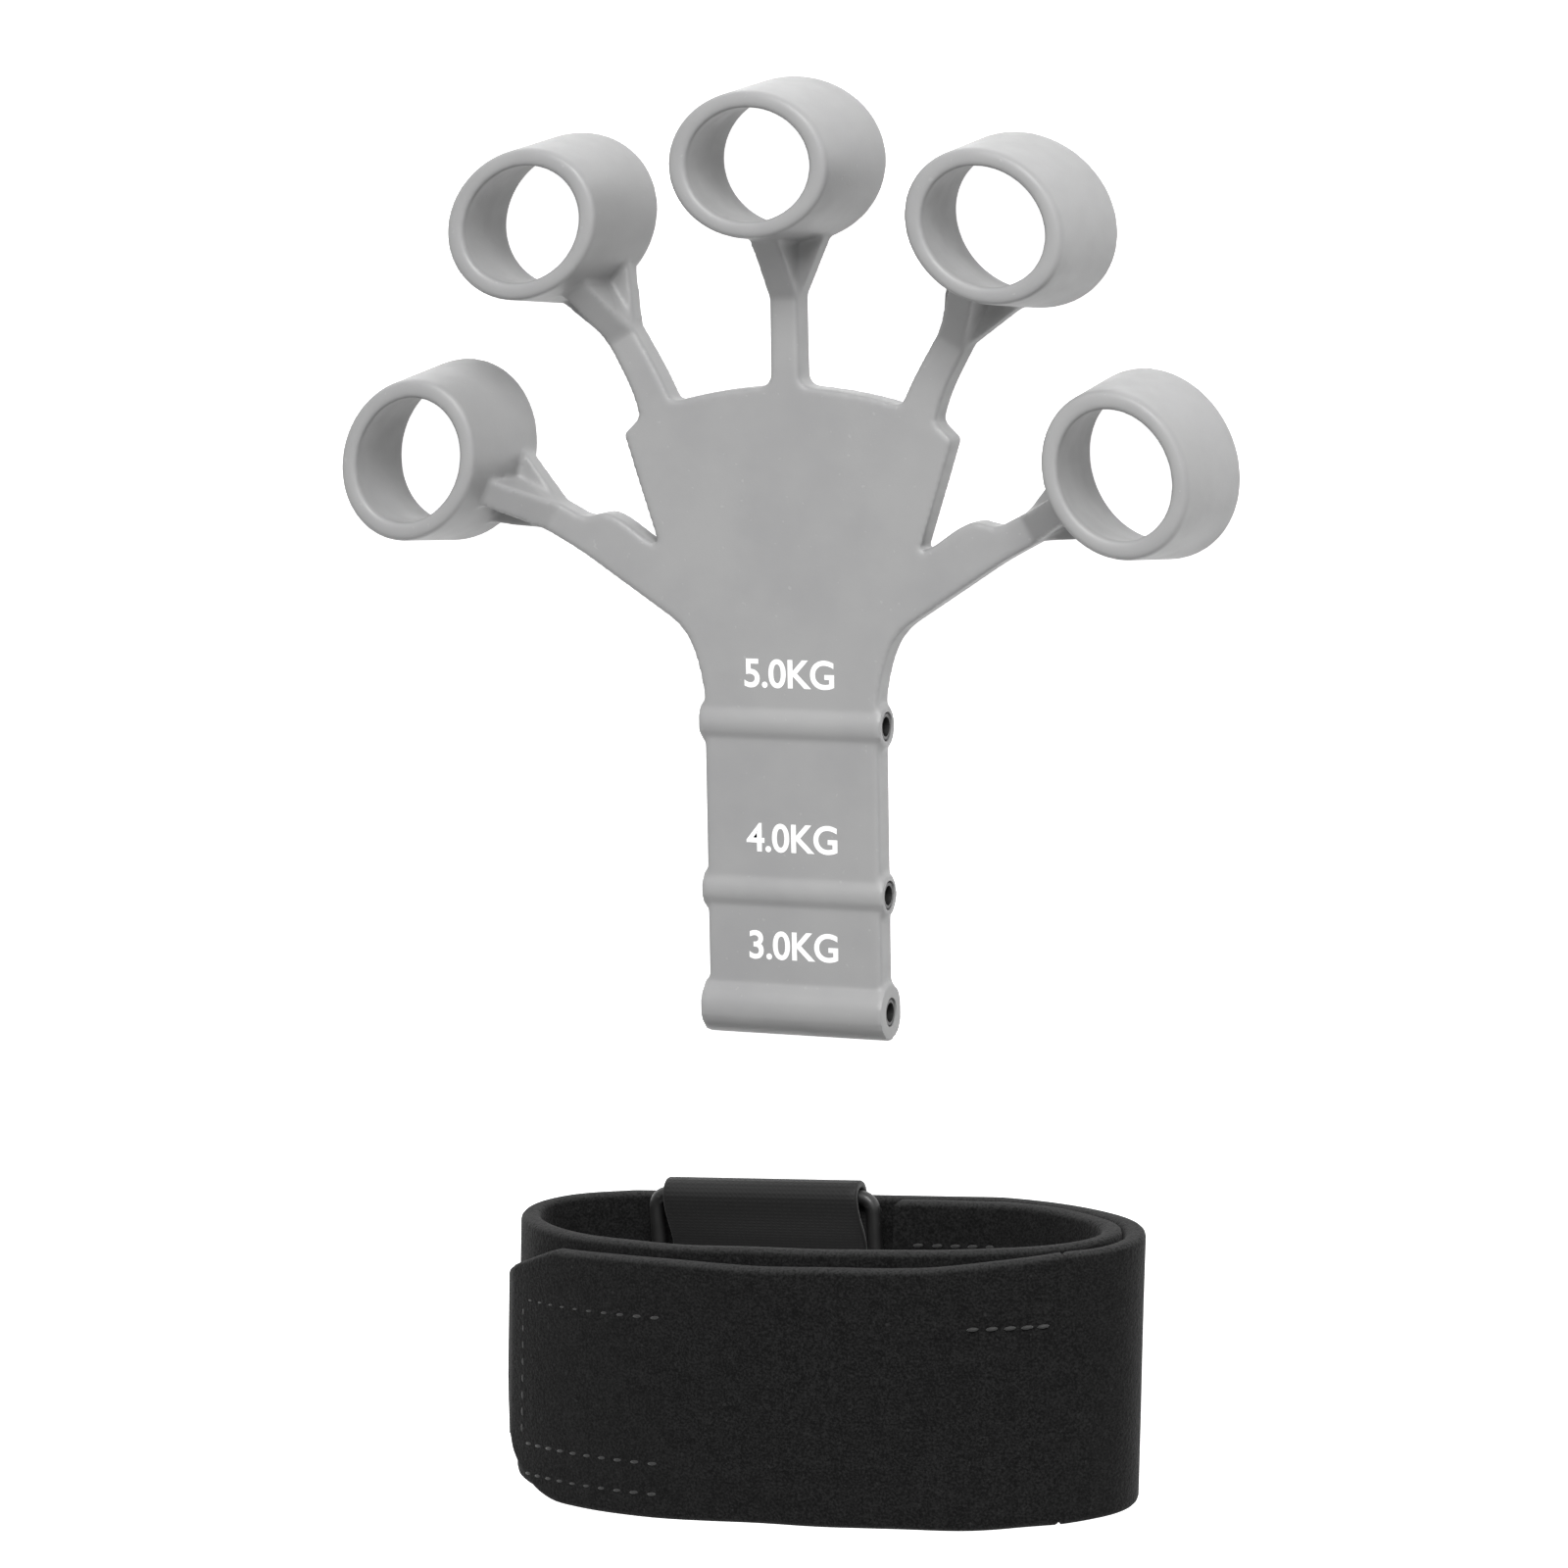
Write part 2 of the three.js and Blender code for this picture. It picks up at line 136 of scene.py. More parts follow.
def modify(obj, kind, **settings):
    modifier = obj.modifiers.new(kind.lower(), kind)
    for key, value in settings.items():
        setattr(modifier, key, value)
    return modifier


def bake(obj):
    """Applies the modifiers, as the editor's Apply does."""
    graph = bpy.context.evaluated_depsgraph_get()
    finished = bpy.data.meshes.new_from_object(obj.evaluated_get(graph))
    obj.modifiers.clear()
    obj.data = finished
    return obj


def place(obj, matrix):
    obj.data.transform(matrix)
    obj.data.update()
    return obj


def smooth(obj):
    obj.data.polygons.foreach_set("use_smooth", [True] * len(obj.data.polygons))
    return obj


# %% [markdown]
# ## The silicone sheet
# The palm, the stem and the arms are one flat sheet, so one outline draws them all. Its corners are given
# once, for the little finger's half, each with how far its fillet reaches. Rounding the corners of a flat
# outline with a vertex bevel is what a mould maker does with a fillet, and the other half is a mirror.

# %% Sizes of the sheet
SHEET = 4.8
STEM_HALF = 14
ARM_HALF = 2.25
ROOT_REACH = 11.6  # arms end inside the loops' walls
PALM_TOP = 94
ARCH = 2.6
ARCH_HALF = 18.4


def half_outline():
    """Corners (x, y, fillet) from the stem's end to the crown of the palm."""
    little, ring_finger, middle = fingers["little"], fingers["ring_finger"], fingers["middle"]

    def corner(finger, back, side, fillet):
        point = finger.at(back, side)
        return (point.x, point.y, fillet)

    corners = [(0, 0, 0), (STEM_HALF, 0, 0), (STEM_HALF, 51, 5), (17.2, 57.6, 3.5)]
    corners += [corner(little, 34, 3.1, 3), corner(little, 27, 2.4, 2)]
    corners += [corner(little, ROOT_REACH, ARM_HALF, 0), corner(little, ROOT_REACH, -ARM_HALF, 0)]
    corners += [corner(little, 24.6, -ARM_HALF - 0.2, 1), corner(little, 27.4, -5.0, 1.1)]
    corners += [corner(little, 30.5, -5.1, 1), corner(little, 34, -4.6, 1), (20.9, 69.4, 1.1)]
    corners += [(26.4, 86.5, 0.5), (23.7, 89.0, 0.9)]
    corners += [corner(ring_finger, 27.5, ARM_HALF + 0.35, 2.5), corner(ring_finger, ROOT_REACH, ARM_HALF, 0)]
    corners += [corner(ring_finger, ROOT_REACH, -ARM_HALF, 0), corner(ring_finger, 27.5, -ARM_HALF - 0.25, 2)]
    arch = [ARCH_HALF - i * (ARCH_HALF - 4.5) / 5 for i in range(6)]
    corners += [(x, PALM_TOP - ARCH * (x / ARCH_HALF) ** 2, 0.9 if x == ARCH_HALF else 0.5) for x in arch]
    corners += [(ARM_HALF + 0.1, PALM_TOP + 0.1, 1.5), (ARM_HALF - 0.1, middle.centre.y - ROOT_REACH, 0)]
    corners += [(0, middle.centre.y - ROOT_REACH, 0)]
    return corners


# %% The sheet
def sheet_solid():
    bm = bmesh.new()
    corners = half_outline()
    verts = [bm.verts.new((x, y, 0)) for x, y, _ in corners]
    bm.faces.new(verts)
    for vert, (_, _, fillet) in zip(verts, corners):
        if fillet:
            bmesh.ops.bevel(bm, geom=[vert], offset=fillet, affect="VERTICES", segments=6, profile=0.5,
                            material=-1, clamp_overlap=True)
    bmesh.ops.mirror(bm, geom=bm.faces[:] + bm.edges[:] + bm.verts[:], axis="X", merge_dist=0.001)
    bmesh.ops.recalc_face_normals(bm, faces=bm.faces[:])
    grown = bmesh.ops.extrude_face_region(bm, geom=bm.faces[:])["geom"]
    top = [v for v in grown if isinstance(v, bmesh.types.BMVert)]
    bmesh.ops.translate(bm, verts=top, vec=(0, 0, SHEET))
    bmesh.ops.translate(bm, verts=bm.verts[:], vec=(0, 0, MID - SHEET / 2))
    bmesh.ops.recalc_face_normals(bm, faces=bm.faces[:])
    return bm


sheet = sheet_solid()
print("the sheet has", len(sheet.faces), "faces")

# %% [markdown]
# ## Ribs
# Three round ribs cross the stem. Each is a plain cylinder here; melting everything into one skin later gives
# the small fillets where they meet the sheet. The lowest one is fatter, because it takes the hardest pull.

# %% Ribs
RIB_LENGTH = 29.4
RIB_RADII = [4.3, 3.1, 3.2]


def bar_across(radius, length, y, z, segments=64):
    bm = bmesh.new()
    turned = Matrix.Translation((0, y, z)) @ Matrix.Rotation(math.pi / 2, 4, "Y")
    bmesh.ops.create_cone(bm, cap_ends=True, segments=segments, radius1=radius, radius2=radius, depth=length,
                          matrix=turned)
    return bm


ribs = [bar_across(radius, RIB_LENGTH, y, MID) for radius, y in zip(RIB_RADII, rib_places)]
print(len(ribs), "ribs")

# %% [markdown]
# ## Finger loops
# A loop is an oval tube that widens to the back. Its wall is drawn once as a section and spun into a full
# turn, then stretched sideways, because a fingertip is wider than it is thick. A vertex bevel on the
# section's four corners gives the soft lips that moulded rims have.

# %% One loop, with its centre at the origin
LOOP_DEPTH = 20
LOOP_WALL = 2.5
LOOP_FRONT = 10.7
LOOP_BACK = 12.4
LOOP_OVAL = 1.17
LIP = 0.8


def loop_solid():
    bm = bmesh.new()
    section = [(LOOP_BACK - LOOP_WALL, 0), (LOOP_BACK, 0), (LOOP_FRONT, LOOP_DEPTH),
               (LOOP_FRONT - LOOP_WALL, LOOP_DEPTH)]
    verts = [bm.verts.new((radius, 0, z)) for radius, z in section]
    bm.faces.new(verts)
    bmesh.ops.bevel(bm, geom=verts, offset=LIP, affect="VERTICES", segments=4, profile=0.5, material=-1)
    bmesh.ops.delete(bm, geom=bm.faces[:], context="FACES_ONLY")
    bmesh.ops.spin(bm, geom=bm.verts[:] + bm.edges[:], cent=(0, 0, 0), axis=(0, 0, 1), dvec=(0, 0, 0),
                   angle=2 * math.pi, steps=96, use_merge=True, use_duplicate=False)
    bmesh.ops.remove_doubles(bm, verts=bm.verts[:], dist=0.001)
    bmesh.ops.scale(bm, verts=bm.verts[:], vec=(LOOP_OVAL, 1, 1))
    bmesh.ops.recalc_face_normals(bm, faces=bm.faces[:])
    return bm


# %% [markdown]
# The gusset spreads the pull of the thin arm over the loop. It is a narrow fin that climbs from a crease in
# the arm to the loop's front, standing on a low foot that fans out to the width of a fingertip. Each of the
# two has few corners, so their convex hulls are the simplest way to close them.

# %% The gusset between an arm and its loop
CREASE = 20.3
FIN_HALF = 2.1
FIN_TOP = 15
FOOT_HALF = 6.4


def hull_of(corners):
    """The convex hull of corners (x, y, z) and their mirror images."""
    bm = bmesh.new()
    for x, y, z in corners:
        bm.verts.new((x, y, z))
        bm.verts.new((-x, y, z))
    made = bmesh.ops.convex_hull(bm, input=bm.verts[:])
    inside = [v for v in made["geom_interior"] if isinstance(v, bmesh.types.BMVert)]
    bmesh.ops.delete(bm, geom=inside, context="VERTS")
    bmesh.ops.recalc_face_normals(bm, faces=bm.faces[:])
    return bm


def gusset_parts():
    under, over = MID - SHEET / 2, MID + SHEET / 2
    back_wall, front_wall = LOOP_BACK - LOOP_WALL / 2, LOOP_FRONT - LOOP_WALL / 2
    fin = hull_of([(ARM_HALF, -CREASE, under), (ARM_HALF, -CREASE, over), (FIN_HALF, -back_wall, under),
                   (FIN_HALF, -front_wall - 0.4, FIN_TOP)])
    foot = hull_of([(ARM_HALF, -CREASE + 0.4, under), (ARM_HALF, -CREASE + 0.4, over - 0.9),
                    (FOOT_HALF, -back_wall + 0.6, under), (FOOT_HALF, -back_wall + 0.6, over - 1.3)])
    return fin, foot


# %% [markdown]
# ## One skin
# The real harness leaves the mould as one piece, with small soft fillets wherever two shapes meet. Beveling
# those crossings one by one would be slow and fragile. A voxel remesh melts the overlapping solids into one
# closed skin, and a few rounds of smoothing round its edges by about half a millimetre.

# %% Melt the solids together
VOXEL = 0.42
SOFTEN = 5


def joined(name, parts):
    """One object from several (bmesh, matrix) pairs."""
    whole = bmesh.new()
    for bm, matrix in parts:
        mesh = bpy.data.meshes.new("part")
        bm.to_mesh(mesh)
        mesh.transform(matrix)
        whole.from_mesh(mesh)
        bpy.data.meshes.remove(mesh)
    return new_object(name, whole)


still = Matrix.Identity(4)
parts = [(sheet, still)] + [(rib, still) for rib in ribs]
for finger in fingers.values():
    parts += [(part, finger.matrix) for part in (loop_solid(), *gusset_parts())]
skin = joined("skin", parts)
modify(skin, "REMESH", mode="VOXEL", voxel_size=VOXEL, use_smooth_shade=True)
modify(skin, "SMOOTH", factor=0.5, iterations=SOFTEN)
bake(skin)
print("melted skin:", len(skin.data.polygons), "faces")

# %% [markdown]
# ## Cutting the skin at the joints
# The skin is one piece on the table, but each finger bends at its arm's root and each loop pulls away from
# it, so the skin is cut across every arm in two places. The cuts lie where the arm is straight. A cut face is
# flat and its edge is marked sharp, so that both sides are shaded as if the skin still ran through.

# %% Where each arm is cut
ROOT_CUT = 2.3  # behind the hinge line
LOOP_CUT = -4.0  # in front of it
LOOP_ROOM = 20  # a loop and its gusset lie within this much of its centre, along the finger
LOOP_SIDE, ARM_SIDE = 17, 6.6  # and this much to either side


def near_finger(finger, co, back_end):
    local = finger.matrix.inverted() @ co
    back = -local.y
    beside_loop = -LOOP_ROOM < back < LOOP_ROOM and abs(local.x) < LOOP_SIDE
    beside_arm = LOOP_ROOM <= back < back_end and abs(local.x) < ARM_SIDE
    return beside_loop or beside_arm


def cut_across(bm, finger, back):
    """Cuts the arm across, and returns the faces on the loop's side of the cut."""
    reach = finger.reach + ROOT_CUT + 1
    faces = [f for f in bm.faces if near_finger(finger, f.calc_center_median(), reach)]
    geom = set(faces)
    for face in faces:
        geom.update(face.edges, face.verts)
    bmesh.ops.bisect_plane(bm, geom=list(geom), dist=0.0001, plane_co=finger.at(back), plane_no=finger.along)
    limit = finger.centre.dot(finger.along) - back
    return [f for f in bm.faces if near_finger(finger, f.calc_center_median(), reach)
            and f.calc_center_median().dot(finger.along) > limit]


def close_cuts(bm):
    open_edges = [e for e in bm.edges if e.is_boundary]
    for face in bmesh.ops.holes_fill(bm, edges=open_edges, sides=0)["faces"]:
        face.smooth = False
        for edge in face.edges:
            edge.smooth = False


def without(bm, faces):
    bmesh.ops.delete(bm, geom=faces, context="FACES")
    close_cuts(bm)
    return bm


def copy_of(obj):
    bm = bmesh.new()
    bm.from_mesh(obj.data)
    for face in bm.faces:
        face.smooth = True
    return bm


# %% Palm, arm roots and loops
def split_off(bm, faces):
    """Moves the faces to a bmesh of their own, and closes both."""
    bm.faces.index_update()
    marks = {face.index for face in faces}
    part = bm.copy()
    part.faces.index_update()
    without(part, [face for face in part.faces if face.index not in marks])
    without(bm, faces)
    return part


palm = copy_of(skin)
roots, loops = {}, {}
for name, finger in fingers.items():
    arm = split_off(palm, cut_across(palm, finger, finger.reach + ROOT_CUT))
    loops[name] = split_off(arm, cut_across(arm, finger, finger.reach + LOOP_CUT))
    roots[name] = arm
    print(name, "root has", len(arm.faces), "faces and the loop", len(loops[name].faces))
bpy.data.objects.remove(skin)
print("the palm has", len(palm.faces), "faces")

# %% [markdown]
# ## Bores for the clip
# The wire clip's tips snap into a rib from both ends, so each rib is bored through. The bore is cut after the
# skin is melted, because a remesh would round its mouth away. A boolean is the plain tool for a straight
# drilled hole. The CAD's own liner tubes stand in the bores, and stay as they are.

# %% Bore the ribs
BORE_RADIUS = 2.25
SHARP = math.radians(35)

palm = new_object("palm", palm)
drills = joined("drills", [(bar_across(BORE_RADIUS, RIB_LENGTH + 4, y, MID, 40), still) for y in rib_places])
modify(palm, "BOOLEAN", operation="DIFFERENCE", solver="EXACT", object=drills)
bake(palm)
palm.data.set_sharp_from_angle(angle=SHARP)
bpy.data.objects.remove(drills)
print("the bored palm has", len(palm.data.polygons), "faces")

# %% [markdown]
# The palm rides on the harness. Each arm's root and each loop is put in its place as a piece of its own.

# %% Put the harness in its place
BEND_END = -3.5  # a point in front of the hinge line
STRETCH_END = 11.5  # a point behind the loop's centre

silicone_pieces = [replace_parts(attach(place(palm, HARNESS), "harness"), "palm_pad")]
for name, finger in fingers.items():
    root = place(new_object(name + "_arm_root", roots[name]), HARNESS)
    start, end = finger.place(finger.reach + ROOT_CUT), finger.place(finger.reach + BEND_END)
    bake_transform(root)
    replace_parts(root, name + "_arm")
    tip = place(new_object(name + "_ring", loops[name]), HARNESS)
    start, end = finger.place(finger.reach + LOOP_CUT - 0.2), finger.place(STRETCH_END)
    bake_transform(tip)
    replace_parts(tip, name + "_loop")
    silicone_pieces += [root, tip]
print(len(silicone_pieces), "silicone pieces")

# %% [markdown]
# ## Ratings on the stem
# Each rib gives another resistance, and a printed rating stands above it. A text object becomes a mesh
# before it is placed. Its offset fattens the strokes, as ink on rubber is printed bold, and a hair of depth
# keeps the print just proud of the sheet.

# %% Print the ratings
RATINGS = {"rating_high": ("5.0KG", 51.0), "rating_mid": ("4.0KG", 26.1), "rating_low": ("3.0KG", 9.7)}
LETTER_HEIGHT = 4.4
LETTER_WIDTH = 0.98  # against the font's own
BOLD = 0.018
INK = 0.05

prints = []
for name, (words, y) in RATINGS.items():
    text = bpy.data.curves.new(name, "FONT")
    text.body = words
    text.align_x, text.align_y = "CENTER", "CENTER"
    text.offset = BOLD
    text.space_character = 0.97
    text.extrude = INK / 2
    flat = bpy.data.objects.new(name + "_text", text)
    bpy.context.scene.collection.objects.link(flat)
    graph = bpy.context.evaluated_depsgraph_get()
    mesh = bpy.data.meshes.new_from_object(flat.evaluated_get(graph))
    bpy.data.objects.remove(flat)
    low, high = (f([v.co.y for v in mesh.vertices]) for f in (min, max))
    left, right = (f([v.co.x for v in mesh.vertices]) for f in (min, max))
    size = LETTER_HEIGHT / (high - low)
    middle = Vector(((left + right) / 2, (low + high) / 2, 0))
    centred = Matrix.Diagonal((size * LETTER_WIDTH, size, 1, 1)) @ Matrix.Translation(-middle)
    mesh.transform(Matrix.Translation((0, y, MID + SHEET / 2)) @ centred)
    print(name, "is", round((right - left) * size, 1), "mm wide")
    rating = bpy.data.objects.new(name, mesh)
    bpy.context.scene.collection.objects.link(rating)
    prints.append(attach(place(rating, HARNESS), "harness"))

# %% [markdown]
# ## The wrist strap
# The strap is one laminated band, wound about one and a half times round a wrist. Here it lies on the table
# and has kept that shape: a flattened oval that slumps sideways. A superellipse draws such an oval with two
# half sizes and a power, and the table flattens its underside. Each layer runs at its own depth below it.

# %% Sizes of the strap
BAND_WIDTH = 40.0
BAND = 3.0  # thickness of the laminate
OVAL_X, OVAL_Z, OVAL_POWER = 52.0, 24.6, 2.25
SETTLE = 3.4  # how much of the underside the table flattens
LEAN = 0.4  # sideways slump for each millimetre of height
SKEW = 0.09  # how far the far edge has slipped to the left, for each millimetre of width
OVAL_MID = OVAL_Z - SETTLE
HOOK_ROOM = 1.2
GAP = 0.3

# Depths of the three layers' middles
OUTER = -BAND / 2
SEWN = OUTER - BAND - GAP
UNDER = OUTER - BAND - HOOK_ROOM - 2 * GAP

# Places along the winding, in degrees from the oval's right end
START, SEWN_END = -76, -15  # the inner end is sewn down between these
PARTED, HINGE = 30, 42  # the layers part, and the flap begins
PATCH, PATCH_END, END = 112, 156, 166  # the hook patch, and the flap's tip
JOINED = 228  # the band is the outer layer from here
RESTS = 310  # and has left the table here

# %% [markdown]
# The clip's hinge is the one point of the strap that the record states, so the strap is placed by it. Its
# axis may point either way along the bar, and the strap's own X always runs to the right.

# %% Place of the strap
clip_joint = joints["clip_swing"]
KEEPER_X, BAR_Y, BAR_Z = -14.563, 0.6, 5.9
bar_axis = Vector(clip_joint["axis"])
bar_axis *= math.copysign(1, bar_axis.x)
strap_turn = Matrix.Rotation(math.atan2(bar_axis.y, bar_axis.x), 4, "Z")
strap_home = Vector(clip_joint["pos_m"]) - strap_turn @ Vector((KEEPER_X, BAR_Y, BAR_Z)) * MM
STRAP = Matrix.Translation(strap_home) @ strap_turn @ Matrix.Scale(MM, 4)
ASKEW = Matrix.Identity(4)
ASKEW[0][1] = SKEW
WOUND = STRAP @ ASKEW
print("strap's rim stands at", [round(v * 1000, 1) for v in strap_home], "mm in the row frame")


# %% [markdown]
# Everything on the strap is placed by an angle round the oval and a depth below its outer face. Between two
# depths the cloth runs in an ease curve, as a real band does where it climbs over another layer.

# %% Points on the oval
def oval_point(angle, depth):
    """A point at an angle in degrees from the oval's +X end, 'depth' outwards from its outer face."""
    c, s = math.cos(math.radians(angle)), math.sin(math.radians(angle))
    x = (OVAL_X + depth) * math.copysign(abs(c) ** (2 / OVAL_POWER), c)
    z = max((OVAL_Z + depth) * math.copysign(abs(s) ** (2 / OVAL_POWER), s), -OVAL_MID - depth)
    return Vector((x + LEAN * z, 0, z + OVAL_MID))


def ease(value, first, last, a, b):
    t = min(max((value - first) / (last - first), 0), 1)
    return a + (b - a) * t * t * (3 - 2 * t)


def band_depth(angle):
    if angle < END:
        return ease(angle, SEWN_END, PARTED, SEWN, UNDER)
    return ease(angle, END, JOINED, UNDER, OUTER)


def outward(angle, depth):
    """The direction out of the cloth at an angle."""
    run = oval_point(angle + 0.5, depth) - oval_point(angle - 0.5, depth)
    return Vector((run.z, 0, -run.x)).normalized()


def length_between(first, last, depth_at):
    steps = 400
    points = [oval_point(first + (last - first) * i / steps, depth_at(first + (last - first) * i / steps))
              for i in range(steps + 1)]
    return sum((b - a).length for a, b in zip(points, points[1:]))


band_length = length_between(START, 360 + HINGE, band_depth)
flap_length = length_between(HINGE, END, lambda angle: OUTER)
print("the band is", round(band_length), "mm long and its flap", round(flap_length))

# %% [markdown]
# A ribbon starts as a chain of points along the band's middle. Extruding the chain's edges across gives the
# cloth, solidify gives the laminate its thickness, and a bevel rounds the cut rims. Two custom layers on the
# points remember how far along and across the cloth each one is, so that a UV map can follow the weave.

# %% A ribbon of laminate
ACROSS = 18
UV_MM = 100  # millimetres of cloth to one unit of UV


def ribbon(angles, depth_at, edges_at, thickness, round_rim=0.9, wobble=0.0, seed=0.0):
    """edges_at(angle) gives the rim's and the far edge's places along Y."""
    bm = bmesh.new()
    along_layer = bm.verts.layers.float.new("along")
    turn_layer = bm.verts.layers.float.new("turn")
    across_layer = bm.verts.layers.float.new("across")
    chain = [bm.verts.new((0, 0, 0)) for _ in angles]
    along = 0.0
    last = oval_point(angles[0], depth_at(angles[0]))
    for vert, angle in zip(chain, angles):
        point = oval_point(angle, depth_at(angle))
        along += (point - last).length
        vert[along_layer], vert[turn_layer] = along, angle
        last = point
    edges = [bm.edges.new(pair) for pair in zip(chain, chain[1:])]
    for row in range(1, ACROSS + 1):
        grown = bmesh.ops.extrude_edge_only(bm, edges=edges)["geom"]
        edges = [g for g in grown if isinstance(g, bmesh.types.BMEdge)]
        for g in grown:
            if isinstance(g, bmesh.types.BMVert):
                g[across_layer] = row / ACROSS
    for vert in bm.verts:
        angle, share = vert[turn_layer], vert[across_layer]
        near, far = edges_at(angle)
        y = near + (far - near) * share
        wave = noise.noise(Vector((vert[along_layer] / 23 + seed, y / 30, seed)))
        calm = min(abs(angle - HINGE) / 12, abs(angle - 360 - HINGE) / 12, 1)
        flutter = noise.noise(Vector((vert[along_layer] / 16 + seed, seed, 0))) * wobble * calm
        off_table = min(max(oval_point(angle, 0).z / 8, 0), 1)
        vert.co = oval_point(angle, depth_at(angle) + wave * wobble * 0.6 * off_table * calm)
        vert.co.y = y + flutter * (1 - 2 * share)
    bmesh.ops.recalc_face_normals(bm, faces=bm.faces[:])
    middle = bm.faces[:][len(bm.faces) // 2]
    if middle.normal.dot(outward(middle.verts[0][turn_layer], OUTER)) < 0:
        bmesh.ops.reverse_faces(bm, faces=bm.faces[:])
    for vert in bm.verts:
        vert.co += outward(vert[turn_layer], OUTER) * thickness / 2
    bmesh.ops.solidify(bm, geom=bm.faces[:], thickness=thickness)
    bmesh.ops.recalc_face_normals(bm, faces=bm.faces[:])
    rims = [e for e in bm.edges if is_rim(e)]
    bmesh.ops.bevel(bm, geom=rims, offset=round_rim, offset_type="OFFSET", affect="EDGES", segments=3,
                    profile=0.5, material=-1)
    uv = bm.loops.layers.uv.new("cloth")
    for face in bm.faces:
        face.smooth = not is_cut_end(face, turn_layer)
        for corner in face.loops:
            corner[uv].uv = (corner.vert[along_layer] / UV_MM, corner.vert.co.y / UV_MM)
            if not face.smooth:
                corner.edge.smooth = False
    return bm


def is_cut_end(face, turn_layer):
    turns = [vert[turn_layer] for vert in face.verts]
    return max(turns) - min(turns) < 0.01


def is_rim(edge, across="y"):
    """A long edge between the cloth's face and its cut rim, which faces along the axis 'across'."""
    if len(edge.link_faces) != 2:
        return False
    slopes = sorted(abs(getattr(face.normal, across)) for face in edge.link_faces)
    return slopes[0] < 0.5 < slopes[1]


def spread(first, last, step):
    count = math.ceil((last - first) / step)
    return [first + (last - first) * i / count for i in range(count + 1)]


# %% [markdown]
# The band's inner end is sewn down inside, on the underside and up the right wall. The band then passes under
# the flap, deep enough to leave room for the hook patch, and comes out on the left as the outer layer. Its
# cut end meets the flap's root.

# %% The band
band_turns = spread(START, 360 + HINGE, 2)
band = new_object("band", ribbon(band_turns, band_depth, lambda angle: (0, -BAND_WIDTH), BAND,
                                 wobble=0.35, seed=3.1))
place(band, WOUND)
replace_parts(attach(band, "strap"), "strap_band")
print("band:", len(band.data.polygons), "faces")

# %% [markdown]
# The flap is the band's free end, cut with a slanted corner by the rim and a big round one on the far side.
# Its edge falls behind the rim a little as it runs on, and its tip presses down on the layer beneath.

# %% The flap
FLAP_INSET = 1.5
CHAMFER, CHAMFER_RUN = 4.6, 14.0
ROUND = 17.0
PRESSED = 1.2  # how far the tip sinks towards the layer beneath
PEEL_BEND = 22  # degrees of the winding past the hinge line


def flap_depth(angle):
    return ease(angle, PATCH_END + 1, END, OUTER, OUTER - PRESSED)


def flap_edges(angle):
    to_tip = length_between(angle, END, flap_depth) if angle > 120 else 100
    near = -ease(angle, HINGE, HINGE + 30, 0, FLAP_INSET) - CHAMFER * max(1 - to_tip / CHAMFER_RUN, 0)
    short = max(ROUND - to_tip, 0)
    return near, -BAND_WIDTH + ROUND - math.sqrt(ROUND ** 2 - short ** 2)


flap_turns = spread(HINGE, 146, 2) + spread(147, END, 0.8)
flap = new_object("flap", ribbon(flap_turns, flap_depth, flap_edges, BAND, wobble=0.4, seed=7.7))
place(flap, WOUND)
hinge_start = WOUND @ oval_point(HINGE, OUTER)
hinge_end = WOUND @ oval_point(HINGE + PEEL_BEND, OUTER)
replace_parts(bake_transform(flap), "strap_flap")
print("flap:", len(flap.data.polygons), "faces")

# %% [markdown]
# ## Stitches
# A stitch is a short pillow of thread that sinks into the cloth. One small sphere, flattened and laid along
# its row, is enough: a row repeats it every few millimetres. Rows keep the hook patch and the band's inner
# end in place. The stitches of each body are one piece.

# %% Rows of stitches
STITCH_STEP, STITCH_LENGTH, THREAD = 2.7, 1.75, 0.62
SLANT = Matrix.Rotation(0.08, 4, "Z")
STITCH_FACES = 48


def add_stitch(bm, point, run, normal):
    side = normal.cross(run).normalized()
    turn = Matrix((run.normalized(), side, normal.normalized())).transposed().to_4x4()
    shape = Matrix.Diagonal((STITCH_LENGTH / 2, THREAD / 2, THREAD / 2, 1))
    bmesh.ops.create_uvsphere(bm, u_segments=8, v_segments=6, radius=1,
                              matrix=Matrix.Translation(point) @ turn @ SLANT @ shape)


def row_along(bm, first, last, y, depth_at, lift):
    """Stitches along the band from one angle to another, 'lift' out of the layer's middle."""
    count = max(round(length_between(first, last, depth_at) / STITCH_STEP), 1)
    for i in range(count):
        angle = first + (last - first) * (i + 0.5) / count
        normal = outward(angle, OUTER)
        point = oval_point(angle, depth_at(angle) + lift)
        point.y = y
        add_stitch(bm, point, Vector((0, 1, 0)).cross(normal), normal * math.copysign(1, lift))


def row_across(bm, angle, near, far, depth_at, lift):
    count = max(round(abs(far - near) / STITCH_STEP), 1)
    for i in range(count):
        point = oval_point(angle, depth_at(angle) + lift)
        point.y = near + (far - near) * (i + 0.5) / count
        add_stitch(bm, point, Vector((0, 1, 0)), outward(angle, OUTER) * math.copysign(1, lift))


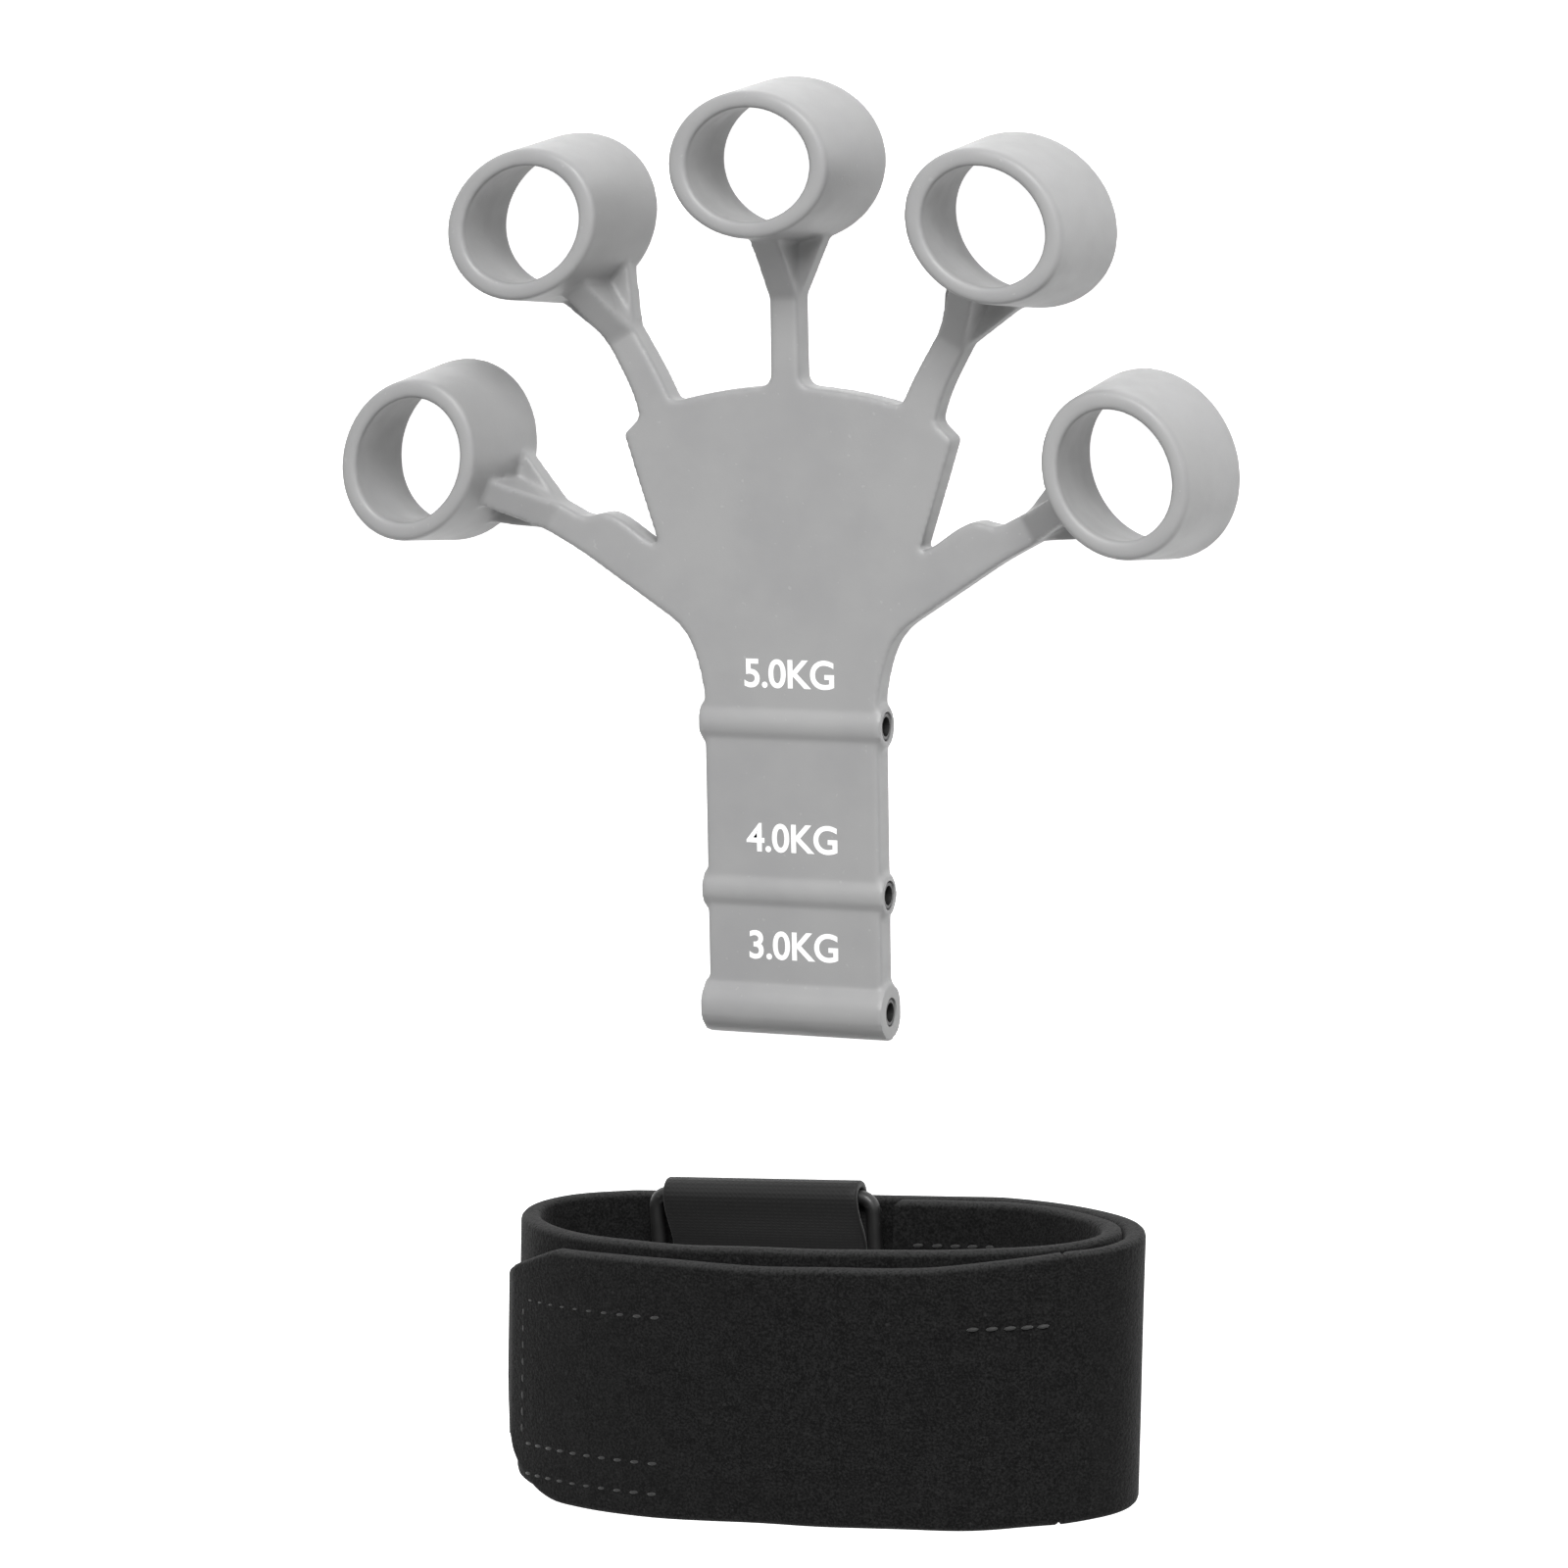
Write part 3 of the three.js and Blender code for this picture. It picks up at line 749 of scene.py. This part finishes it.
# %% Stitches of the flap and the band
FACE = BAND / 2 - 0.03
flap_rows = bmesh.new()
for y in (-9.8, -31.8, -36.4):
    row_along(flap_rows, PATCH + 2, PATCH_END - 5, y, flap_depth, FACE)
row_across(flap_rows, PATCH_END - 4, -10.5, -31, flap_depth, FACE)
row_along(flap_rows, 47, 66, -10.2, flap_depth, FACE)
flap_stitches = place(smooth(new_object("flap_stitches", flap_rows)), WOUND)
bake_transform(flap_stitches)

band_rows = bmesh.new()
for y in (-6.5, -BAND_WIDTH + 6.5):
    row_along(band_rows, START + 3, SEWN_END - 4, y, band_depth, -FACE)
    row_along(band_rows, RESTS, 360 + SEWN_END - 4, y, band_depth, FACE)
row_across(band_rows, START + 2.5, -7, -BAND_WIDTH + 7, band_depth, -FACE)
band_stitches = place(smooth(new_object("band_stitches", band_rows)), WOUND)
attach(band_stitches, "strap")
for rows in (flap_stitches, band_stitches):
    print(rows.name, "holds", len(rows.data.polygons) // STITCH_FACES, "stitches")

# %% [markdown]
# ## Hook patch
# Under the flap's end sits the rough half of a hook-and-loop fastener: a woven tape with rows of stiff
# monofilament hooks. Each hook is a thin four-sided rod bent over at its end, made by extruding a square
# along a few steps, so that hundreds of them stay light.

# %% The tape and its hooks
TAPE = 0.5
HOOK_PITCH, HOOK_ROD = 1.5, 0.11
PATCH_NEAR, PATCH_FAR = -FLAP_INSET - 4.2, -BAND_WIDTH + 4.2
tape_depth = OUTER - BAND / 2 - TAPE / 2 - 0.05


def hook():
    """A hook that stands on z = 0 and bends over along X."""
    bm = bmesh.new()
    bmesh.ops.create_circle(bm, cap_ends=False, segments=4, radius=HOOK_ROD)
    painted_rim_highlight, total = bm.edges[:], 0
    for turn, step in ((0, 0.34), (35, 0.17), (50, 0.14), (50, 0.13), (30, 0.1)):
        grown = bmesh.ops.extrude_edge_only(bm, edges=painted_rim_highlight)["geom"]
        painted_rim_highlight = [g for g in grown if isinstance(g, bmesh.types.BMEdge)]
        ends = [g for g in grown if isinstance(g, bmesh.types.BMVert)]
        middle = sum((v.co for v in ends), Vector()) / len(ends)
        total += turn
        bmesh.ops.rotate(bm, verts=ends, cent=middle, matrix=Matrix.Rotation(math.radians(turn), 3, "Y"))
        heading = Matrix.Rotation(math.radians(total), 3, "Y") @ Vector((0, 0, step))
        bmesh.ops.translate(bm, verts=ends, vec=heading)
    bmesh.ops.holes_fill(bm, edges=[e for e in bm.edges if e.is_boundary], sides=0)
    bmesh.ops.recalc_face_normals(bm, faces=bm.faces[:])
    return bm


tape = ribbon(spread(PATCH, PATCH_END, 2), lambda angle: tape_depth,
              lambda angle: (PATCH_NEAR, PATCH_FAR), TAPE, round_rim=0.15)
one_hook = bpy.data.meshes.new("one_hook")
hook().to_mesh(one_hook)
hooks = bmesh.new()
hook_turns = spread(PATCH + 1.5, PATCH_END - 1.5, math.degrees(HOOK_PITCH / OVAL_X) * 1.25)
hook_rows = int((PATCH_NEAR - PATCH_FAR - 1.4) / HOOK_PITCH)
for i, angle in enumerate(hook_turns):
    inward = -outward(angle, OUTER)
    lean = Vector((0, 1 if i % 2 else -1, 0))
    turn = Matrix((lean, inward.cross(lean), inward)).transposed().to_4x4()
    for row in range(hook_rows + 1):
        point = oval_point(angle, tape_depth - TAPE / 2 + 0.03)
        point.y = PATCH_NEAR - 0.7 - row * HOOK_PITCH - (i % 2) * 0.25
        before = len(hooks.verts)
        hooks.from_mesh(one_hook)
        hooks.verts.ensure_lookup_table()
        bmesh.ops.transform(hooks, matrix=Matrix.Translation(point) @ turn, verts=hooks.verts[before:])
bpy.data.meshes.remove(one_hook)
tape_piece = place(new_object("hook_tape", tape), WOUND)
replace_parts(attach(tape_piece, "flap"), "hook_patch")
hooks_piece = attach(place(new_object("hooks", hooks), WOUND), "flap")
print("the patch has", len(hook_turns) * (hook_rows + 1), "hooks")

# %% [markdown]
# ## The keeper and its wire
# A strip of smooth webbing is folded round the clip's bar and sewn to the inside of the strap's underside.
# From the side it is a teardrop: under the bar, round it, and back down on itself. The side line is drawn as
# a chain of points, and extruding it sideways makes the tunnel.

# %% The keeper
WIRE = 2.2
KEEPER_PLY, KEEPER_LENGTH, KEEPER_TAIL = 1.2, 31.8, 12.2
FOLD = WIRE / 2 + GAP + KEEPER_PLY / 2
SLID = 0.2  # the tunnel has slid a little along the bar


def keeper_line():
    low = BAR_Z - FOLD
    line = [(BAR_Y - KEEPER_TAIL + i * (KEEPER_TAIL / 8), low) for i in range(8)]
    line += [(BAR_Y + FOLD * math.sin(math.radians(a)), BAR_Z - FOLD * math.cos(math.radians(a)))
             for a in range(0, 200, 12)]
    (y0, z0), back = line[-1], BAR_Y - KEEPER_TAIL
    top = low + KEEPER_PLY + 0.03
    line += [(y0 + (back - y0) * i / 9, ease(i, 0, 6, z0, top)) for i in range(1, 10)]
    return line


def keeper_solid():
    bm = bmesh.new()
    along_layer = bm.verts.layers.float.new("along")
    across_layer = bm.verts.layers.float.new("across")
    line = [Vector((-KEEPER_LENGTH / 2, y, z)) for y, z in keeper_line()]
    chain = [bm.verts.new(point) for point in line]
    for i, vert in enumerate(chain[1:], 1):
        vert[along_layer] = chain[i - 1][along_layer] + (line[i] - line[i - 1]).length
    edges = [bm.edges.new(pair) for pair in zip(chain, chain[1:])]
    steps = 20
    for row in range(1, steps + 1):
        grown = bmesh.ops.extrude_edge_only(bm, edges=edges)["geom"]
        edges = [g for g in grown if isinstance(g, bmesh.types.BMEdge)]
        ends = [g for g in grown if isinstance(g, bmesh.types.BMVert)]
        bmesh.ops.translate(bm, verts=ends, vec=(KEEPER_LENGTH / steps, 0, 0))
        for vert in ends:
            vert[across_layer] = row / steps
    bmesh.ops.recalc_face_normals(bm, faces=bm.faces[:])
    bm.normal_update()
    under = min(bm.faces, key=lambda f: f.calc_center_median().z)
    if under.normal.z > 0:
        bmesh.ops.reverse_faces(bm, faces=bm.faces[:])
    bm.normal_update()
    shift = {vert: vert.normal * KEEPER_PLY / 2 for vert in bm.verts}
    for vert, vec in shift.items():
        vert.co += vec
    bmesh.ops.solidify(bm, geom=bm.faces[:], thickness=KEEPER_PLY)
    bmesh.ops.recalc_face_normals(bm, faces=bm.faces[:])
    rims = [e for e in bm.edges if is_rim(e, "x")]
    bmesh.ops.bevel(bm, geom=rims, offset=0.35, offset_type="OFFSET", affect="EDGES", segments=2, profile=0.5,
                    material=-1)
    uv = bm.loops.layers.uv.new("cloth")
    for face in bm.faces:
        face.smooth = True
        for corner in face.loops:
            corner[uv].uv = (corner.vert.co.x / UV_MM, corner.vert[along_layer] / UV_MM)
    return bm


keeper = new_object("keeper", keeper_solid())
place(keeper, Matrix.Translation((KEEPER_X + SLID, 0, 0)))
place(keeper, STRAP)
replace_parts(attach(keeper, "strap"), "wire_keeper")
keeper_flat = sum(math.dist(a, b) for a, b in zip(keeper_line(), keeper_line()[1:]))
print("keeper was cut to", round(KEEPER_LENGTH), "by", round(keeper_flat, 1), "mm")

# %% [markdown]
# The clip is one bent wire. A circle is extruded along the straight parts and spun round each bend, as the
# wire itself was bent round a pin. Only half of it is made this way, and a mirror gives the other half.

# %% The wire clip
CLIP_HALF, CLIP_ARM, CLIP_TIP, CLIP_BEND = 17.9, 16.0, 6.2, 2.1


def wire_half():
    bm = bmesh.new()
    bmesh.ops.create_circle(bm, cap_ends=False, segments=20, radius=WIRE / 2,
                            matrix=Matrix.Rotation(math.pi / 2, 4, "Y"))
    end = bm.edges[:]

    def last_edges(geom):
        return [g for g in geom if isinstance(g, bmesh.types.BMEdge)]

    def straight(edges, x, y):
        grown = bmesh.ops.extrude_edge_only(bm, edges=edges)["geom"]
        ends = [g for g in grown if isinstance(g, bmesh.types.BMVert)]
        bmesh.ops.translate(bm, verts=ends, vec=(x, y, 0))
        return last_edges(grown)

    def bend(edges, x, y):
        verts = list({v for e in edges for v in e.verts})
        spun = bmesh.ops.spin(bm, geom=verts + edges, cent=(x, y, 0), axis=(0, 0, 1), dvec=(0, 0, 0),
                              angle=-math.pi / 2, steps=8, use_merge=False, use_duplicate=False)
        return last_edges(spun["geom_last"])

    inner = CLIP_HALF - CLIP_BEND
    end = straight(end, inner, 0)
    end = bend(end, inner, -CLIP_BEND)
    end = straight(end, 0, -(CLIP_ARM - 2 * CLIP_BEND))
    end = bend(end, inner, -(CLIP_ARM - CLIP_BEND))
    end = straight(end, -(CLIP_TIP - CLIP_BEND), 0)
    cap = bmesh.ops.edgeloop_fill(bm, edges=end)["faces"]
    bmesh.ops.bevel(bm, geom=list(cap[0].edges), offset=0.45, offset_type="OFFSET", affect="EDGES",
                    segments=4, profile=0.5, material=-1)
    bmesh.ops.remove_doubles(bm, verts=bm.verts[:], dist=0.0005)
    bmesh.ops.mirror(bm, geom=bm.faces[:] + bm.edges[:] + bm.verts[:], axis="X", merge_dist=0.0005)
    bmesh.ops.recalc_face_normals(bm, faces=bm.faces[:])
    return bm


wire = place(new_object("clip", wire_half()), Matrix.Translation((KEEPER_X, BAR_Y, BAR_Z)))
place(smooth(wire), STRAP)
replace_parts(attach(wire, "clip"), "wire_clip")
print("wire clip:", len(wire.data.polygons), "faces")

# %% [markdown]
# ## Shader maths as expressions
# A material is a small program in nodes. The class below wraps a socket, so that `1 - mask * 0.4` adds the
# Math nodes that it says. Everything else goes through one method, node: its type, its settings, its sockets.

# %% Value and Finish
class Value:
    """A socket that takes part in arithmetic."""

    def __init__(self, finish, socket):
        self.finish, self.socket = finish, socket

    def math(self, operation, first, second=0.0):
        return self.finish.node("ShaderNodeMath", {"operation": operation}, {0: first, 1: second})

    def __add__(self, other):
        return self.math("ADD", self, other)

    def __sub__(self, other):
        return self.math("SUBTRACT", self, other)

    def __mul__(self, other):
        return self.math("MULTIPLY", self, other)

    def __rsub__(self, other):
        return self.math("SUBTRACT", other, self)

    def of(self, operation):
        """A one-socket operation, such as SINE or ABSOLUTE."""
        return self.math(operation, self)

    __radd__, __rmul__ = __add__, __mul__


class Finish:
    """A material in the making. Its constants are set on the shader's own sockets."""

    def __init__(self, name, **constants):
        self.material = bpy.data.materials.new(name)
        self.material.use_nodes = True
        self.tree = self.material.node_tree
        self.tree.nodes.clear()
        self.shader = self.tree.nodes.new("ShaderNodeBsdfPrincipled")
        output = self.tree.nodes.new("ShaderNodeOutputMaterial")
        self.tree.links.new(self.shader.outputs[0], output.inputs["Surface"])
        for key, value in constants.items():
            self.put(self.shader, key.replace("_", " "), value)

    def put(self, node, key, value):
        if isinstance(value, Value):
            self.tree.links.new(value.socket, node.inputs[key])
        else:
            node.inputs[key].default_value = value

    def node(self, kind, settings=None, sockets=None, out=0):
        node = self.tree.nodes.new(kind)
        for key, value in (settings or {}).items():
            setattr(node, key, value)
        for key, value in (sockets or {}).items():
            self.put(node, key, value)
        return Value(self, node.outputs[out])

    def place(self):
        return self.node("ShaderNodeTexCoord", out="Object")

    def noise(self, size, detail=2.0, rough=0.5, seed=0.0):
        """Soft noise from 0 to 1, whose blobs are about 'size' millimetres."""
        moved = self.node("ShaderNodeMapping", None, {"Vector": self.place(), "Location": (seed, seed, seed)})
        return self.node("ShaderNodeTexNoise", {"noise_dimensions": "3D"},
                         {"Vector": moved, "Scale": 1 / (size * MM), "Detail": detail, "Roughness": rough})

    def step(self, value, low, high, a=0.0, b=1.0):
        """Eases from a to b while the value goes from low to high."""
        return self.node("ShaderNodeMapRange", {"interpolation_type": "SMOOTHSTEP"},
                         {"Value": value, "From Min": low, "From Max": high, "To Min": a, "To Max": b})

    def mix(self, factor, a, b):
        return self.node("ShaderNodeMix", {"data_type": "RGBA"}, {0: factor, 6: a, 7: b}, out=2)

    def bump(self, height, strength, distance):
        """A height in 0 to 1 that stands 'distance' millimetres high."""
        return self.node("ShaderNodeBump", None,
                         {"Height": height, "Strength": strength, "Distance": distance * MM})

    def apply(self, *objects, **varying):
        for key, value in varying.items():
            self.put(self.shader, key.replace("_", " "), value)
        for obj in objects:
            obj.data.materials.clear()
            obj.data.materials.append(self.material)
        print(self.material.name, "has", len(self.tree.nodes), "nodes, on", len(objects), "pieces")


def grey(value, blue=1.0):
    return (value, value, value * blue, 1.0)


# %% [markdown]
# ## Silicone
# Moulded silicone is satin: a soft broad highlight, and a little light goes in and comes out again, which the
# constant subsurface on the shader gives. The mould's blasted face leaves a fine grain, handling leaves a
# faint cloudiness, and a few specks of dust always cling to it.

# %% Silicone finish
silicone = Finish("silicone_grey", Specular_IOR_Level=0.42, Subsurface_Weight=0.12,
                  Subsurface_Radius=(1.0, 1.0, 1.0), Subsurface_Scale=1.2 * MM)
cloud = silicone.noise(14, 3, 0.55)
patch = silicone.noise(3.2, 2, 0.5, seed=4.0)
grain = silicone.noise(0.22, 2, 0.6, seed=9.0)
dust = silicone.step(silicone.noise(0.9, 1, 0.5, seed=2.0), 0.735, 0.78)
body_grey = silicone.mix(silicone.step(cloud, 0.3, 0.7), grey(0.262, blue=1.01), grey(0.288))
body_grey = silicone.mix(patch * 0.35, body_grey, grey(0.278))
body_grey = silicone.mix(dust * 0.25, body_grey, grey(0.40))
silicone.apply(*silicone_pieces, Base_Color=body_grey,
               Roughness=silicone.step(cloud + (patch - 0.5) * 0.5, 0.25, 0.8, 0.40, 0.52) + dust * 0.2,
               Normal=silicone.bump(grain * 0.7 + patch * 0.3 + dust * 0.6, 0.35, 0.05))

# %% [markdown]
# ## Printed ink
# Pad-printed white ink lies thin on the rubber: slightly uneven, with tiny pinholes where the grain shows.

# %% Ink finish
ink = Finish("rating_ink", Specular_IOR_Level=0.4)
uneven = ink.noise(1.1, 3, 0.6)
pinhole = ink.step(ink.noise(0.3, 2, 0.6, seed=5.0), 0.66, 0.74)
ink_white = ink.mix(ink.step(uneven, 0.35, 0.7), grey(0.86), grey(0.93))
ink.apply(*prints, Base_Color=ink.mix(pinhole * 0.5, ink_white, grey(0.55)), Roughness=0.42 + uneven * 0.2,
          Normal=ink.bump(uneven - pinhole, 0.2, 0.03))

# %% [markdown]
# ## Strap laminate
# The strap's face is brushed loop cloth: thousands of fine black loops that swallow light, with a dusty sheen
# at grazing angles and some fibres paler than the rest. Its cut rims are painted paler: a painted highlight
# where the edge catches light. The across layer, 0 at one edge and 1 at the other, tells the shader where
# the rims are.

# %% Strap finish
cloth = Finish("strap_loop_cloth", Sheen_Weight=0.10, Sheen_Roughness=0.4, Sheen_Tint=grey(0.5),
               Specular_IOR_Level=0.1)
across = cloth.node("ShaderNodeAttribute", {"attribute_name": "across"}, out="Fac")
# paler colour along the cut rims: a painted highlight where the edge catches light
painted_rim_highlight = cloth.step((across * 2 - 1).of("ABSOLUTE"), 0.955, 1.0)
fibres = cloth.noise(0.34, 3, 0.7)
pile = cloth.node("ShaderNodeTexVoronoi", {"feature": "F1"},
                  {"Vector": cloth.place(), "Scale": 1 / (0.62 * MM), "Randomness": 1.0})
tufts = cloth.noise(2.4, 3, 0.6, seed=3.0)
lint = cloth.step(cloth.noise(0.8, 2, 0.5, seed=7.0), 0.68, 0.74)
speckle = cloth.step(fibres + (tufts - 0.5) * 0.22, 0.36, 0.70)
black = cloth.mix(speckle, grey(0.003), grey(0.0155))
black = cloth.mix(lint * 0.45, black, grey(0.031))
# the rims are painted paler here, a painted highlight
black = cloth.mix(painted_rim_highlight * cloth.step(fibres, 0.25, 0.6), black, grey(0.031))
cloth.apply(band, flap, Base_Color=black, Roughness=0.86 + tufts * 0.12,
            Normal=cloth.bump(fibres * 0.8 + pile * 0.7 + tufts * 0.8, 0.7, 0.22))

# %% [markdown]
# Thread is twisted, so fine slanting ridges cross each stitch. Webbing is woven in ribs. Both are nylon, a
# little glossier than the brushed cloth.

# %% Thread and webbing finishes
thread = Finish("sewing_thread", Specular_IOR_Level=0.4, Sheen_Weight=0.2)
twist = thread.noise(0.25, 2, 0.6)
thread.apply(flap_stitches, band_stitches, Base_Color=thread.mix(twist, grey(0.007), grey(0.026)),
             Roughness=0.55 + twist * 0.2, Normal=thread.bump(twist, 0.5, 0.08))

webbing = Finish("keeper_webbing", Specular_IOR_Level=0.35, Sheen_Weight=0.2, Sheen_Roughness=0.4)
cloth_uv = webbing.node("ShaderNodeUVMap", {"uv_map": "cloth"})
PICK, RIB = 0.8, 0.55
ROUND_PER_MM = 2 * math.pi * UV_MM
warp, weft = ((webbing.node("ShaderNodeSeparateXYZ", None, {0: cloth_uv}, out=axis)
               * (ROUND_PER_MM / pitch)).of("SINE") for axis, pitch in (("X", PICK), ("Y", RIB)))
weave = warp * weft * 0.35 + weft * 0.35 + 0.5
fuzz = webbing.noise(0.5, 2, 0.6)
ribbed = webbing.step(weave + (fuzz - 0.5) * 0.5, 0.1, 0.9)
webbing.apply(keeper, Base_Color=webbing.mix(ribbed, grey(0.0035), grey(0.0085)),
              Roughness=0.56 + fuzz * 0.2, Normal=webbing.bump(weave + fuzz * 0.8, 0.4, 0.08))

# %% [markdown]
# The hooks are bare nylon and the liners a drawn plastic tube. The wire is dipped in black, and the dip has
# rubbed through to the steel in a few places, which is where Metallic rises.

# %% Hook tape, wire and liner finishes
nylon = Finish("hook_nylon", Specular_IOR_Level=0.5)
mottle = nylon.noise(0.6, 2, 0.6)
nylon.apply(tape_piece, hooks_piece, Base_Color=nylon.mix(mottle, grey(0.008), grey(0.022)),
            Roughness=0.42 + mottle * 0.2, Normal=nylon.bump(mottle, 0.4, 0.08))

coated = Finish("coated_wire", Metallic=0.0, Coat_Weight=0.15)
rub = coated.noise(1.4, 3, 0.6)
worn = coated.step(rub, 0.64, 0.72)
coated.apply(wire, Base_Color=coated.mix(worn * 0.5, grey(0.006), grey(0.10)), Roughness=0.42 + rub * 0.2,
             Metallic=worn * 0.6, Normal=coated.bump(rub - worn * 0.5, 0.25, 0.04))

plastic = Finish("liner_plastic", Specular_IOR_Level=0.5)
drawn = plastic.noise(0.5, 2, 0.5)
plastic.apply(*[bpy.data.objects[name] for name in ("rib_liner_low", "rib_liner_mid", "rib_liner_high")],
              Base_Color=plastic.mix(drawn, grey(0.010), grey(0.020)), Roughness=0.38 + drawn * 0.15,
              Normal=plastic.bump(drawn, 0.3, 0.03))

# %% [markdown]
# ## Studio
# A white floor that glows a little, as lit paper does, one large soft light above and to the right of the
# fingertips, and a bright even sky. The long lens stands almost over the harness, a little to its right.

# %% Floor and sky
bm = bmesh.new()
bmesh.ops.create_grid(bm, x_segments=2, y_segments=2, size=4.0)
floor = new_object("floor", bm)
floor.visible_diffuse = False
paper = Finish("paper_floor", Emission_Strength=0.85)
fleck = paper.noise(40, 2, 0.5)
paper.apply(floor, Base_Color=paper.mix(fleck, grey(0.90), grey(0.93)), Roughness=0.9 + fleck * 0.05,
            Emission_Color=grey(1.0))

world = bpy.data.worlds.new("studio")
bpy.context.scene.world = world
world.use_nodes = True
sky = world.node_tree
direction = sky.nodes.new("ShaderNodeTexCoord")
height = sky.nodes.new("ShaderNodeSeparateXYZ")
dome = sky.nodes.new("ShaderNodeMapRange")
for key, value in {"From Min": -0.3, "From Max": 0.35, "To Min": 0.50, "To Max": 0.655}.items():
    dome.inputs[key].default_value = value
sky.links.new(direction.outputs["Generated"], height.inputs[0])
sky.links.new(height.outputs["Z"], dome.inputs["Value"])
sky.links.new(dome.outputs[0], sky.nodes["Background"].inputs["Strength"])
sky.nodes["Background"].inputs["Color"].default_value = grey(1.0)

# %% The soft light
LIT = home + Vector((0, 30, 0)) * MM
TURN, TIP = math.radians(-24), math.radians(-46)
LAMP_DISTANCE, LAMP_SIZE, LAMP_POWER = 1.3, 0.7, 19

lamp = bpy.data.lights.new("key", "AREA")
lamp.shape, lamp.size, lamp.energy = "DISK", LAMP_SIZE, LAMP_POWER
light = bpy.data.objects.new("key", lamp)
way = Matrix.Rotation(TURN, 3, "Z") @ Matrix.Rotation(TIP, 3, "X")
light.matrix_world = Matrix.Translation(LIT + way @ Vector((0, 0, LAMP_DISTANCE))) @ way.to_4x4()
bpy.context.scene.collection.objects.link(light)
print("the soft light stands", round(light.matrix_world.translation.z, 2), "m above the table")

# %% [markdown]
# The camera is placed in the harness's own frame. Its roll turns the view's right and up by a degree, and
# the three directions are the columns of its matrix.

# %% The camera
CAMERA_FROM = Vector((332.3, 162.5, 809.5))
CAMERA_TO = Vector((-3.9, 33.3, 0))
CAMERA_ROLL = -0.017
FOCAL = 134.6
lens = bpy.data.cameras.new("camera")
lens.sensor_width, lens.lens, lens.clip_start, lens.clip_end = 36, FOCAL, 0.05, 20
camera = bpy.data.objects.new("camera", lens)
view = (CAMERA_TO - CAMERA_FROM).normalized()
right = view.cross(Vector((0, 1, 0))).normalized()
up = right.cross(view)
turned_right = right * math.cos(CAMERA_ROLL) + up * math.sin(CAMERA_ROLL)
turned_up = up * math.cos(CAMERA_ROLL) - right * math.sin(CAMERA_ROLL)
axes = Matrix((turned_right, turned_up, -view)).transposed().to_4x4()
camera.matrix_world = Matrix.Translation(home + CAMERA_FROM * MM) @ axes
bpy.context.scene.collection.objects.link(camera)
bpy.context.scene.camera = camera
bpy.context.scene.view_settings.view_transform = "Standard"
print("camera is", round((CAMERA_FROM - CAMERA_TO).length), "mm from the harness")
